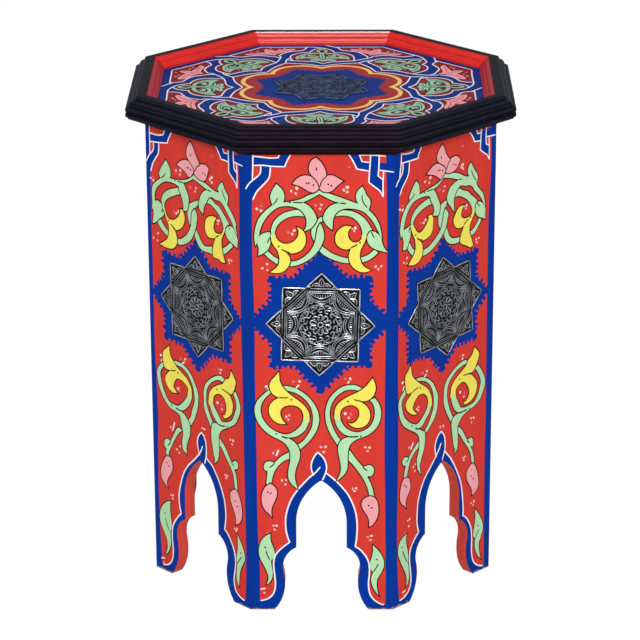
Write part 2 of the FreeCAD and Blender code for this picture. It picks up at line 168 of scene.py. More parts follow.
# Materials. Noise is in cycles a metre, and a stretch below 1 draws it out along that axis. The depth of a
# bump is in metres
PAINT_ROUGH = 0.42
LINE_ROUGH = 0.4
PAINT_GLOSS = 0.03
FIELD_GLOSS = 0.008
BLACK_GLOSS = 0.008
EVEN = (1, 1, 1)
UPRIGHT = (1, 1, 0.12)
NOISE_DETAIL = 4.0
PATCH_SCALE = 60
PATCH_STOPS = (0.3, 0.7)
GRAIN_STOPS = (0.35, 0.65)
BRUSH_SCALE = 900
BRUSH_DEPTH = 0.0002
BRUSH_STRENGTH = 0.15
LINE_SCALE = 1200
LINE_DEPTH = 0.0001

# How far under a board's face, in millimetres, its paint still counts as the face's, and how far over the
# inside the bare wood does
FACE_SKIN = 0.4
INSIDE_SKIN = 0.3

# Chips at the feet: their height in millimetres, how fast they grow fewer upward, and their noise
CHIP_HEIGHT = 2.6
CHIP_FADE = 120.0
CHIP_SCALE = 240
CHIP_LEVEL = 0.62


def shader_of(tree):
    return tree.nodes["Principled BSDF"]


def new_material(name, rough, specular=0.5):
    """A material and its node tree; its shader has that roughness and specular level."""
    material = bpy.data.materials.new(name)
    material.use_nodes = True
    tree = material.node_tree
    shader_of(tree).inputs["Roughness"].default_value = rough
    shader_of(tree).inputs["Specular IOR Level"].default_value = specular
    return material, tree


def noise(tree, scale, stretch=EVEN):
    """A noise texture in the part's own coordinates."""
    place = tree.nodes.new("ShaderNodeTexCoord")
    mapping = tree.nodes.new("ShaderNodeMapping")
    mapping.inputs["Scale"].default_value = stretch
    texture = tree.nodes.new("ShaderNodeTexNoise")
    texture.inputs["Scale"].default_value = scale
    texture.inputs["Detail"].default_value = NOISE_DETAIL
    tree.links.new(place.outputs["Object"], mapping.inputs["Vector"])
    tree.links.new(mapping.outputs["Vector"], texture.inputs["Vector"])
    return texture.outputs["Fac"]


def ramp(tree, source, places, colours):
    """A source turned into colour, from one colour at the first place to the other at the second."""
    node = tree.nodes.new("ShaderNodeValToRGB")
    for element, place, colour in zip(node.color_ramp.elements, places, colours):
        element.position = place
        element.color = colour
    tree.links.new(source, node.inputs["Fac"])
    return node.outputs["Color"]


def bump(tree, source, strength, depth):
    """Fine relief on the material's surface."""
    node = tree.nodes.new("ShaderNodeBump")
    node.inputs["Strength"].default_value = strength
    node.inputs["Distance"].default_value = depth
    tree.links.new(source, node.inputs["Height"])
    tree.links.new(node.outputs["Normal"], shader_of(tree).inputs["Normal"])


def colour_from(tree, source):
    """Gives the material the colour of a node."""
    tree.links.new(source, shader_of(tree).inputs["Base Color"])


def math_node(tree, operation, first, second=None):
    """A Math node on one or two sources; a number is set on its socket."""
    node = tree.nodes.new("ShaderNodeMath")
    node.operation = operation
    for socket, value in zip(node.inputs, (first, second)):
        if isinstance(value, (int, float)):
            socket.default_value = value
        elif value is not None:
            tree.links.new(value, socket)
    return node.outputs[0]


def mix_colours(tree, share, first, second):
    """The first colour where the share is 0, the second where it is 1."""
    node = tree.nodes.new("ShaderNodeMix")
    node.data_type = "RGBA"
    tree.links.new(share, node.inputs["Factor"])
    for socket, value in ((node.inputs["A"], first), (node.inputs["B"], second)):
        if isinstance(value, tuple):
            socket.default_value = value
        else:
            tree.links.new(value, socket)
    return node.outputs["Result"]


def uneven(tree, rgb, spread, streak):
    """One paint's colour, laid thicker and thinner along the brush's way."""
    patches = noise(tree, PATCH_SCALE, streak)
    return ramp(tree, patches, PATCH_STOPS, (tinted(rgb, 1 - spread), tinted(rgb, 1 + spread)))


def brushed(tree, streak=EVEN, scale=BRUSH_SCALE, depth=BRUSH_DEPTH):
    """The fine ridges that a brush leaves."""
    bump(tree, noise(tree, scale, streak), BRUSH_STRENGTH, depth)


def paint(name, rgb, rough=PAINT_ROUGH, spread=0.06, streak=UPRIGHT, specular=PAINT_GLOSS):
    """Hand-laid gloss paint: uneven in depth of colour, with brush streaks along the board."""
    material, tree = new_material(name, rough, specular)
    colour_from(tree, uneven(tree, rgb, spread, streak))
    brushed(tree, streak)
    return material


def line_paint(name, rgb, specular=PAINT_GLOSS):
    """Paint of thin lines and dots: one colour, with a brushed surface."""
    material, tree = new_material(name, LINE_ROUGH, specular)
    shader_of(tree).inputs["Base Color"].default_value = linear(rgb)
    brushed(tree, EVEN, LINE_SCALE, LINE_DEPTH)
    return material


def wood_grain(tree, stretch, scale=160, dark=0.72, pale=1.12):
    """Bare wood's colour, and the grain that it follows."""
    grain = noise(tree, scale, stretch)
    colours = (tinted(BARE_WOOD, dark), tinted(BARE_WOOD, pale))
    return ramp(tree, grain, GRAIN_STOPS, colours), grain


def apothem_and_height(tree):
    """Distance from the axis, measured square to the nearest pair of sides, and height, in metres."""
    place = tree.nodes.new("ShaderNodeTexCoord")
    axes = tree.nodes.new("ShaderNodeSeparateXYZ")
    tree.links.new(place.outputs["Object"], axes.inputs[0])
    x = math_node(tree, "ABSOLUTE", axes.outputs["X"])
    y = math_node(tree, "ABSOLUTE", axes.outputs["Y"])
    slant = math_node(tree, "MULTIPLY", math_node(tree, "ADD", x, y), math.sqrt(0.5))
    square = math_node(tree, "MAXIMUM", x, y)
    return math_node(tree, "MAXIMUM", square, slant), axes.outputs["Z"]


def chips(tree, height):
    """Where paint is chipped off, close to the floor: 1 there and 0 elsewhere."""
    low = math_node(tree, "SUBTRACT", CHIP_HEIGHT * MM, height)
    spots = math_node(tree, "SUBTRACT", noise(tree, CHIP_SCALE), CHIP_LEVEL)
    worn = math_node(tree, "ADD", math_node(tree, "MULTIPLY", low, CHIP_FADE), spots)
    return math_node(tree, "GREATER_THAN", worn, 0.0)


def panel_material():
    """A side panel: blue on its face, red on its cut edges, bare wood with grain inside."""
    material, tree = new_material("panel_paint", PAINT_ROUGH, PAINT_GLOSS)
    apothem, height = apothem_and_height(tree)
    on_face = math_node(tree, "GREATER_THAN", apothem, (APOTHEM - FACE_SKIN) * MM)
    inside = math_node(tree, "LESS_THAN", apothem, (PANEL_INSIDE + INSIDE_SKIN) * MM)
    edge = uneven(tree, EDGE_RED, 0.12, UPRIGHT)
    painted = mix_colours(tree, on_face, edge, uneven(tree, BLUE, 0.10, UPRIGHT))
    grain = wood_grain(tree, (1, 1, 0.04))[0]
    dressed = mix_colours(tree, inside, painted, grain)
    worn = mix_colours(tree, chips(tree, height), dressed, linear(CHIPPED))
    colour_from(tree, worn)
    brushed(tree, UPRIGHT)
    return material


def board_material():
    """The top board: blue on top, where the border of its painting shows, bare wood below."""
    material, tree = new_material("board_paint", LINE_ROUGH, FIELD_GLOSS)
    height = apothem_and_height(tree)[1]
    above = math_node(tree, "GREATER_THAN", height, (BOARD_TOP - FACE_SKIN) * MM)
    grain = wood_grain(tree, (1, 0.05, 1))[0]
    blue = uneven(tree, FIELD_BLUE, 0.10, EVEN)
    colour_from(tree, mix_colours(tree, above, grain, blue))
    brushed(tree)
    return material


def wood_material():
    """Bare softwood of the cleats and blocks, with its grain."""
    material, tree = new_material("bare_wood", 0.65)
    colour, grain = wood_grain(tree, (1, 1, 0.06), scale=170, dark=0.7, pale=1.15)
    colour_from(tree, colour)
    bump(tree, grain, strength=0.3, depth=0.0003)
    return material


# Painted shapes, as thin slabs of paint. Heights are in millimetres over the board, and so are widths
PAINT_BASE = -0.05
RED_GROUND = 0.07
BLUE_SHAPE = 0.12
WHITE_LINE = 0.17
INK_BASE = 0.16
FILL_OVER_INK = 0.03
LEVEL_RISE = 0.05
DETAIL_RISE = 0.04
LAYER_STEP = 0.003
INK_WIDTH = 1.15
EDGING_UNDER = 0.15
LINE_TAPER = 0.6
STROKE_TAPER = 0.4
CURVE_PARTS = 3

# Places nearer than this are one place, and faces smaller than this are none
SAME_PLACE = 0.02
NO_AREA = 1e-9

# Where an outline turns back on itself, and how far its widened corners may run out
SHARPEST_TURN = 0.3
LONGEST_MITRE = 1.8


def layer(index, count=8):
    """A hair's rise, so that two shapes of one level that overlap never share a plane."""
    return LAYER_STEP * (index % count)


def detail_top(level):
    """How proud the ink strokes and dots lie on a painted shape of a level."""
    return INK_BASE + LEVEL_RISE * level + FILL_OVER_INK + DETAIL_RISE


class Coat:
    """The mesh of one paint, gathered over all the boards that it is on."""

    def __init__(self):
        self.points = []
        self.faces = []


def panel_spot(side):
    """A function from places on a side's face to the part's frame: across, up and proud of it."""
    turn = side * STEP

    def spot(across, up, proud):
        out = APOTHEM + proud
        x = across * math.cos(turn) + out * math.sin(turn)
        y = across * math.sin(turn) - out * math.cos(turn)
        return (x * MM, y * MM, up * MM)

    return spot


def field_spot(across, along, proud):
    """A place on the top board, and proud of it."""
    return (across * MM, along * MM, (BOARD_TOP + proud) * MM)


def read_path(text):
    """Places from a line of text; a mark after one says that it is a corner."""
    places = []
    for item in text.split(","):
        across, up = item.strip().rstrip("!").split()
        places.append((float(across), float(up), item.strip().endswith("!")))
    return places


def catmull(before, start, end, after, share):
    """A place on the curve from start to end that also heeds the places before and after."""
    out = []
    for axis in (0, 1):
        a, b, c, d = before[axis], start[axis], end[axis], after[axis]
        bend = 2 * a - 5 * b + 4 * c - d
        twist = 3 * b - a - 3 * c + d
        out.append(0.5 * (2 * b + (c - a) * share + bend * share ** 2 + twist * share ** 3))
    return tuple(out)


def smooth(places, closed=True, parts=CURVE_PARTS):
    """A curve through the places, sharp only at their corners."""
    count = len(places)
    spans = count if closed else count - 1
    curve = []
    for index in range(spans):
        start, end = places[index], places[(index + 1) % count]
        first = start[2] or (not closed and index == 0)
        last = end[2] or (not closed and index == spans - 1)
        before = start if first else places[index - 1]
        after = end if last else places[(index + 2) % count]
        curve += [catmull(before, start, end, after, part / parts) for part in range(parts)]
    if not closed:
        curve.append(tuple(places[-1][:2]))
    return curve


def signed_area(outline):
    """The area inside an outline, above zero if it runs anticlockwise."""
    total = 0
    for (x0, y0), (x1, y1) in zip(outline, outline[1:] + outline[:1]):
        total += x0 * y1 - x1 * y0
    return total / 2


def clean(outline):
    """The outline turned anticlockwise, without places that repeat."""
    kept = []
    for place in outline:
        if not kept or math.dist(place, kept[-1]) > SAME_PLACE:
            kept.append(place)
    if math.dist(kept[0], kept[-1]) <= SAME_PLACE:
        kept.pop()
    return kept if signed_area(kept) > 0 else kept[::-1]


def widened(outline, margin):
    """An anticlockwise outline moved outward, with its corners cut where they would run far out."""
    out = []
    count = len(outline)
    for index, (x, y) in enumerate(outline):
        px, py = outline[index - 1]
        nx, ny = outline[(index + 1) % count]
        ax, ay = y - py, px - x
        bx, by = ny - y, x - nx
        a, b = math.hypot(ax, ay), math.hypot(bx, by)
        ax, ay, bx, by = ax / a, ay / a, bx / b, by / b
        mx, my = ax + bx, ay + by
        length = math.hypot(mx, my)
        if length < SHARPEST_TURN:
            mx, my, reach = bx, by, 1.0
        else:
            mx, my = mx / length, my / length
            reach = min(LONGEST_MITRE, 1 / max(SHARPEST_TURN, mx * ax + my * ay))
        out.append((x + mx * margin * reach, y + my * margin * reach))
    return out


def slab(coat, outline, proud, spot):
    """A flat closed shape of paint, from just inside the wood up to its own height."""
    outline = clean(outline)
    count = len(outline)
    first = len(coat.points)
    coat.points += [spot(x, y, proud) for x, y in outline]
    coat.points += [spot(x, y, PAINT_BASE) for x, y in outline]
    for face in tessellate_polygon([[Vector((x, y, 0)) for x, y in outline]]):
        corners = [outline[index] for index in face]
        if abs(signed_area(corners)) < NO_AREA:
            continue
        if signed_area(corners) < 0:
            face = face[::-1]
        coat.faces.append(tuple(first + index for index in face))
        coat.faces.append(tuple(first + count + index for index in face[::-1]))
    for index in range(count):
        after = (index + 1) % count
        coat.faces.append((first + index, first + count + index, first + count + after, first + after))


def beside(curve, index, reach):
    """The step from a place of a curve to its left, as far as the reach."""
    x0, y0 = curve[max(0, index - 1)]
    x1, y1 = curve[min(len(curve) - 1, index + 1)]
    length = math.hypot(x1 - x0, y1 - y0) or 1.0
    return -(y1 - y0) / length * reach, (x1 - x0) / length * reach


def ribbon(coat, curve, width, proud, spot, taper=LINE_TAPER):
    """A painted line of a width, a little narrower where the brush was set down and lifted."""
    first = len(coat.points)
    count = len(curve)
    for index, (x, y) in enumerate(curve):
        sx, sy = beside(curve, index, width / 2 * (taper if index in (0, count - 1) else 1.0))
        for px, py in ((x + sx, y + sy), (x - sx, y - sy)):
            coat.points.append(spot(px, py, proud))
            coat.points.append(spot(px, py, PAINT_BASE))
    for index in range(count - 1):
        left, left_low, right, right_low = (first + 4 * index + step for step in range(4))
        coat.faces += [(left, right, right + 4, left + 4),
                       (left_low, left, left + 4, left_low + 4),
                       (right, right_low, right_low + 4, right + 4),
                       (right_low, left_low, left_low + 4, right_low + 4)]
    end = first + 4 * (count - 1)
    coat.faces += [(first, first + 1, first + 3, first + 2), (end, end + 2, end + 3, end + 1)]


def edging(coat, outline, proud, spot):
    """The ink line round a painted shape, from just under the shape's own paint outward."""
    first = len(coat.points)
    count = len(outline)
    for edge in (widened(outline, -EDGING_UNDER), widened(outline, INK_WIDTH)):
        coat.points += [spot(x, y, proud) for x, y in edge]
        coat.points += [spot(x, y, PAINT_BASE) for x, y in edge]
    for index in range(count):
        here, there = first + index, first + (index + 1) % count
        inner, inner_low, outer, outer_low = (step * count for step in range(4))
        coat.faces += [(here + inner, here + outer, there + outer, there + inner),
                       (here + outer, here + outer_low, there + outer_low, there + outer),
                       (here + outer_low, here + inner_low, there + inner_low, there + outer_low),
                       (here + inner_low, here + inner, there + inner, there + inner_low)]


def inked_shape(coats, colour, outline, level, index, spot):
    """A painted shape of a level, with the ink line round it."""
    outline = clean(outline)
    top = INK_BASE + LEVEL_RISE * level + layer(index)
    edging(coats["ink"], outline, top, spot)
    slab(coats[colour], outline, top + FILL_OVER_INK, spot)


def dot(coat, across, up, radius, proud, spot, chance, sides=9):
    """A small dab of paint, never quite round."""
    lean = chance.uniform(0, math.pi)
    long = chance.uniform(1.0, 1.25)
    outline = []
    for index in range(sides):
        angle = 2 * math.pi * index / sides
        x, y = radius * long * math.cos(angle), radius / long * math.sin(angle)
        outline.append((across + x * math.cos(lean) - y * math.sin(lean),
                        up + x * math.sin(lean) + y * math.cos(lean)))
    slab(coat, outline, proud, spot)


def add_piece(name, coat, material):
    """One mesh object of the part, riding on its only body."""
    mesh = bpy.data.meshes.new(name)
    mesh.from_pydata(coat.points, [], coat.faces)
    mesh.materials.append(material)
    piece = add_object(name, mesh)
    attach(piece, "root")
    return piece


# The front panel's painting. Places in these tables are pixels of the photograph's 640 by 640 frame,
# chosen round each painted shape; on_panel turns them into places on the board
# Colour, level that it is painted on, and outline
PANEL_SHAPES = (
    ("green", 0,
     "322.9 216.4!, 319.4 218, 315.6 221.4, 312.5 226.5, 311.4 232, 312.3 237.5, 315 242.5!, 315.8 237, "
     "316.8 230.5, 319 225.3, 322.6 220.4!"),
    ("green", 0,
     "304.5 211.8!, 298 209.9, 291 210.8, 284 213, 277.5 217.3, 273.3 222.8, 271.2 229, 270.3 236, "
     "270.2 241!, 275.2 240!, 274.8 233, 276.3 227.3, 280.3 222.2, 286 218.4, 292 216.4, 299 215.9, "
     "305.5 216.6!"),
    ("green", 0,
     "333.5 212.5!, 338 211.2, 344 210.4, 351 211, 358 213.7, 364 218, 368.5 223.5, 371.5 229, 373.5 235!, "
     "367.5 240!, 366.5 241!, 362 241!, 362.6 235, 361.3 228, 357.5 221.5, 352 217.4, 346 215.7, 340 215.5, "
     "333.5 216.8!"),
    ("green", 0,
     "264 253.5!, 268 257.5, 272.5 261, 278.5 265!, 281 260.5!, 275 257.3, 271 254, 267.5 250.5!"),
    ("green", 0,
     "319.5 251!, 324 255, 330 258.3, 337 261, 344 262.8, 352 263.2!, 352.5 258.5!, 347 258.2, 340 256.5, "
     "333 253.8, 327 250, 322.3 246.3!"),
    ("green", 0,
     "359.5 262.5!, 365 261.6, 371 258.8, 378 253!, 375 249!, 369.5 253.9, 365 256.2, 359 257.8!"),
    ("green", 1,
     "320.2 223.3!, 322.3 227, 323.8 232.5, 323.9 238, 322.3 243.5, 319.3 249.2, 315 254.5, 309 259.5, "
     "301 263.8, 293 266, 287.5 265.8!, 288 261.8!, 296 260.8, 303 257.5, 309 252.5, 313 246.5, 315.5 240, "
     "316.6 233, 317.8 227.7"),
    ("green", 2,
     "319.3 190.2!, 315 193.3, 309 195, 302 198.6, 295 200.6, 288 201.8, 283 202.2, 278 202.5, 274 204.2, "
     "268 208.5, 263 213, 259 218, 256.5 224, 254.8 231, 254.3 238, 255.5 246!, 258.8 238, 259.8 231, "
     "262.5 223.5, 267 216.5, 272 211.5, 277 207.9, 282 206.3, 288 206, 294 207, 299 209, 303 212.5, "
     "305.8 217.5, 306.6 223, 305.6 228, 303 231.5!, 307 230, 311.5 227.8, 314.5 224, 316.7 219.5, "
     "315.5 214.5, 312 209, 307.5 204.8, 302.5 202.4!, 308 200, 314 197, 319.3 193.8!"),
    ("green", 2,
     "319.3 190.2!, 322 191.8, 327 193, 333 194.8, 340 197.2, 347 199.8, 353 202, 358.5 204, 363 206.3, "
     "367.5 209, 372 213, 376 218, 379 224, 381 231, 382 240!, 379 233, 376 227, 373 221.5, 369 216.5, "
     "364.5 212.3, 359 209.8, 353 208.6, 346 208.5, 340.5 210, 336.5 212.8, 333.8 217, 332.8 222, "
     "332.6 226, 332.3 229.7!, 328.5 227, 325 223, 323.2 218.5, 324.3 213.5, 327 209, 331 205.5, 336 203.6, "
     "340.5 203!, 335 201.5, 329 199, 323.5 196, 319.3 193.8!"),
    ("green", 2,
     "276.3 184!, 274 187.5, 271.5 192, 270.3 197, 271 201, 272.9 206.2!, 277 206.4!, 282.6 204.2!, "
     "284 200, 284.4 196, 283 191, 279.8 187"),
    ("green", 2,
     "362.3 186.4!, 358.5 190, 356 195, 356.5 200, 359.5 206!, 363.5 209, 368.3 210.7!, 369.9 205.8, "
     "370.5 202, 369.5 198.5, 366.5 195, 364.5 190.5"),
    ("green", 2,
     "270 232.2!, 265 232.6, 260.5 235, 257.7 239, 257.5 244, 258.8 249, 258.3 255.5!, 262.5 253.8, "
     "266.5 251, 269.3 247, 270.5 242, 270.3 237"),
    ("green", 2,
     "370.5 231.3!, 375 231.8, 378.5 234.5, 381 238, 382.3 243, 384.3 248, 388 252.4!, 382 251.2, "
     "376 249.5, 371 246.5, 368 242.5, 367 238.5, 368 234.5"),
    ("yellow", 3,
     "271 236.5!, 271.5 241, 274 246, 277.3 250.3, 279 255.5, 279.3 261, 277 267, 270.2 272.2!, 277 273, "
     "283.5 271.3, 288.3 266.5, 290.2 261, 288.8 255.5, 285 252, 281.8 250.3!, 288 252.8, 294.5 253, "
     "300.5 250.5, 304.5 245.8, 305.9 240, 304.9 234, 301.8 229.6, 297 227!, 298.6 231, 297.9 236, "
     "294.3 240.8, 288.8 243.4, 283 243.3, 278.3 240.5, 275.3 236!"),
    ("yellow", 3,
     "366 236.5!, 365.3 240.5, 362.8 245.5, 360.3 251.5, 360 258.5, 363 265.5, 370.5 270.3!, 364 272.3, "
     "357 270.3, 351.2 265, 348.8 258, 349.5 252.5, 351 248.2!, 346 249.3, 340.8 248, 336.5 244, "
     "335.2 238.5, 336.5 232.8, 340.5 228.3, 346 225.7, 352 226.8!, 349 230, 348 234.5, 349.3 239, "
     "353.3 242.2, 358 241.8, 361 239.5, 362.3 236!"),
    ("pink", 3,
     "292.5 183.8!, 295.5 180, 299.5 176.8, 304.5 175.4, 309.5 176, 314 178.8, 317.5 183, 318.9 187.5!, "
     "317.5 190, 314 192.2, 309.5 191.8, 304 188.3, 298.5 185.6"),
    ("pink", 3,
     "343.2 181!, 338.5 178.3, 333.5 175.6, 328.5 175.2, 324 177.3, 320.8 181.5, 319.4 187.5!, 320.5 189.8, "
     "324 191.8, 329 192, 333 190, 337 185.8, 340.5 183"),
    ("pink", 4,
     "315.8 157.5!, 320.5 161.5, 324.5 168, 326 173, 325.4 176.5, 322.5 179, 320.5 182.5, 319.2 186.5!, "
     "318.1 183, 315.5 179, 311 174.5, 309 170, 309.3 165, 311.5 160.5"),
    ("green", 0,
     "282.5 385.8!, 288.5 386.3, 295 388, 302 391.8, 309 397.5, 314.5 404.5, 318 412, 319.2 420, "
     "317.3 428.5, 313 436.5, 307 443.5, 300 449.5!, 296 445.8!, 302.5 441.5, 308 434.5, 311.8 427, "
     "313 419, 312 411, 308.5 403.5, 303 397.5, 297 393.5, 291 391.5, 284 389.5!"),
    ("green", 0,
     "363 388.7!, 356 385.5, 349.5 385, 342.5 386.8, 335.5 391.5, 329.5 398.5, 326.3 406.5, 325.3 415, "
     "326.5 424, 330 433, 334.5 440.5, 338.5 446.5!, 341.5 441.5!, 337.5 436, 333 428, 330.2 419, "
     "329.9 411, 331.8 403.5, 336.5 396.5, 343 391.5, 350 389.6, 356 390, 361.5 391.5!"),
    ("green", 0,
     "291 451.5!, 283.5 455, 278.3 459, 274.2 462.6, 270 461.2, 266 462.2, 263.8 465.8, 264.6 470, "
     "267.6 471.2, 266.9 477, 266.3 485!, 271 485!, 272.3 478, 274.8 470.8, 279 464.8, 284.5 460.6, "
     "291 458!"),
    ("green", 0,
     "347.5 459.5!, 351.5 463, 356.5 469, 361.5 476, 365.5 483, 368 489.5, 369.5 497!, 374.2 497!, "
     "372.8 489.5, 370.5 483, 368.2 477.5, 372 475.5, 374 471, 373 466.8, 369.5 465, 365.5 466, 363 467!, "
     "359.5 463, 355 457.5, 351.5 452.5, 348.5 449!"),
    ("green", 1,
     "269.8 389.5!, 264.5 393.3, 259.3 398.3, 255.6 404, 254.6 410.5, 256 418, 260 425.3, 266 431.8, "
     "273 436.5, 280 439.8, 285.2 443.5, 288.8 448.8, 290.4 455, 290 462, 288.6 469.5, 288.3 477, "
     "291 483.3, 297.8 489.2!, 295.8 482.5, 294.9 475.5, 296 468.5, 299 460.5, 300 453.5, 298 446.5, "
     "293.5 441.2, 286.8 437.3!, 293.5 437.2, 300 434.6, 305.5 429.5, 308.5 423, 309.5 417!, 303.6 417!, "
     "302.8 421.5, 299.5 427, 293.5 431.8, 287 434.3, 280.3 433.2, 273.3 430, 267 424.7, 262.7 418.3, "
     "260.6 411, 261.4 404.3, 264.8 398.3, 270.8 392.8!"),
    ("green", 1,
     "374.8 397.8!, 378.5 403, 380.9 410, 380.6 418, 377.8 425.5, 372.5 431.8, 365.5 436, 358 438.8, "
     "352 442.5, 348.8 447.8, 347.6 455, 347.7 463, 346.9 469.5, 343.3 475.5, 336.5 480.8!, 340.3 473.3, "
     "340.8 465.5, 339.3 457.5, 338 449.5, 339.3 443, 343.8 438.5, 351 436.5!, 344.8 434.5, 339.3 430, "
     "335.8 423.5, 334.3 415!, 339.8 415.5!, 341.3 421.5, 345.3 427.3, 351 430.9, 358 432.2, 365 430, "
     "370.8 425.3, 374 418.8, 374.9 411.5, 373.2 404.3, 369.8 400!"),
    ("yellow", 2,
     "279 371.5!, 274.5 377, 270.3 382, 269.5 387.5, 272 393, 276 396.2, 279.5 397.7!, 274.5 400, "
     "270.5 404, 268.9 409.5, 270 415.5, 274 420.7, 279.5 423.6, 285.8 423.9!, 282.3 419.5, 280.3 414, "
     "281.3 409.3, 285 406.2, 290.5 405.2, 296.3 406, 300.8 409, 303 413.5, 303.7 419.5!, 309.2 420!, "
     "309.3 414, 306.3 408, 301.5 402.8, 295 398, 288.5 393, 283 387.3, 279.9 381, 279.3 376"),
    ("yellow", 2,
     "372.7 378!, 375 383.5, 375.7 389, 374 394.5, 370.5 398.8, 365.5 401, 360 401, 355.5 400.2!, "
     "361.5 402.2, 366.5 406, 369.5 411, 370 417.5, 367.5 423.5, 362.5 427, 356.5 427.8, 351.5 426, "
     "348 423!, 352.5 423.3, 357 420, 359.3 415, 358.8 409.8, 355.5 406.3, 350.5 405, 345 406.5, 341 410.3, "
     "339.8 417.5!, 334.5 417!, 335 409.5, 338 403.8, 343.5 399.2, 351.5 395, 358 392, 364 388, 369 382.8"),
    ("pink", 2,
     "270.2 483.5!, 274 486, 276.8 490.5, 276.6 496, 274.5 501.5, 272 507, 271.3 512, 272 517.3!, "
     "269.5 514, 265.5 510.5, 262.5 505, 261.6 498.5, 262.6 492, 265.5 486.8"),
    ("pink", 2,
     "370.5 496!, 366 497.5, 362.5 500.5, 361.6 505, 363.5 510, 367 515, 369 520, 369.2 526.7!, "
     "372.5 524.5, 376 520, 378 514, 378.3 507, 377 501, 374 497.3"),
    ("green", 0,
     "270.5 533.8!, 265.5 536, 261.5 540.5, 259.2 547, 259 553.5, 260.8 559.5, 264 565.5, 267 571.5, "
     "268.5 577, 268 581, 266.5 584.5!, 270 582, 272.3 577, 272.6 571, 271.5 565.5, 271 560.7!, 273.5 558, "
     "275 554, 273.5 548, 271.2 542.5, 270.3 538"),
    ("green", 0,
     "372.8 545!, 376.5 548.5, 381 554, 383.8 560.5, 383.7 567, 381 573, 377.8 578, 376.8 583, 377.2 589, "
     "378.4 595.2!, 374.5 590, 371.8 584, 371.2 578, 373.2 572.2!, 370.5 568.5, 370 563, 371.8 557, "
     "373 551"),
)

# Width in millimetres, level, and line
PANEL_INK = (
    (0.9, 4, "316.4 167.3, 316.5 170.8"),
    (0.8, 2, "277.6 197.5, 276.2 201, 272.6 204.8"),
    (0.8, 2, "362.3 194.8, 362.2 199, 364 203.5, 367.5 207.8"),
    (0.8, 2, "269.6 237.3, 268.6 240, 267.3 243"),
    (0.8, 2, "371 231.6, 372.8 235, 374.2 237.7"),
    (0.9, 2, "302.8 202.4, 297.5 202.5, 292.8 202.3"),
    (0.9, 2, "340 203, 343 203.2, 346 203.5"),
    (0.9, 0, "366.6 235, 366.8 238, 366.5 240.5"),
    (0.9, 3, "281.2 249.2, 285 250.9, 290 252.7"),
    (0.9, 3, "350.5 248, 354 246.2, 357.8 244.2"),
    (0.9, 2, "279 397.4, 284 397.8, 288 397.3"),
    (0.9, 2, "354 399.5, 358 400.6, 362 401.4"),
    (1.1, 1, "281.5 436.3, 284.5 437.2, 288 438.2"),
    (1.1, 1, "347.5 436.6, 353 436.8, 358.5 436.3"),
    (0.9, 0, "269.3 467.5, 272.5 465.5, 274.8 462.6"),
    (0.9, 0, "362.8 467, 365 469, 367.3 470.6"),
    (0.9, 0, "367.8 478, 368.4 476.6, 369.2 476"),
    (0.8, 0, "266.1 550.5, 267.3 555, 270.2 560.3"),
    (0.8, 0, "378.5 563.5, 376 568, 373.3 572.3"),
    (0.8, 0, "378.4 595, 379.4 595.8, 380.2 597"),
)

# Dark dots: place and level
PANEL_INK_DOTS = (
    (306.5, 183.2, 3), (308.8, 183, 3), (313.5, 185, 3), (328.2, 184.4, 3), (331.5, 185.6, 3),
    (289.8, 202.3, 2), (278.7, 246.3, 3), (360, 242.5, 3), (291.3, 399.8, 2), (348, 401.3, 2),
    (276.3, 433.8, 1), (360.8, 436.3, 1), (267.7, 492, 2), (270.8, 493.3, 2), (368.6, 505.5, 2),
    (371.7, 507.8, 2), (265.2, 547.2, 0), (376.8, 559.5, 0),
)

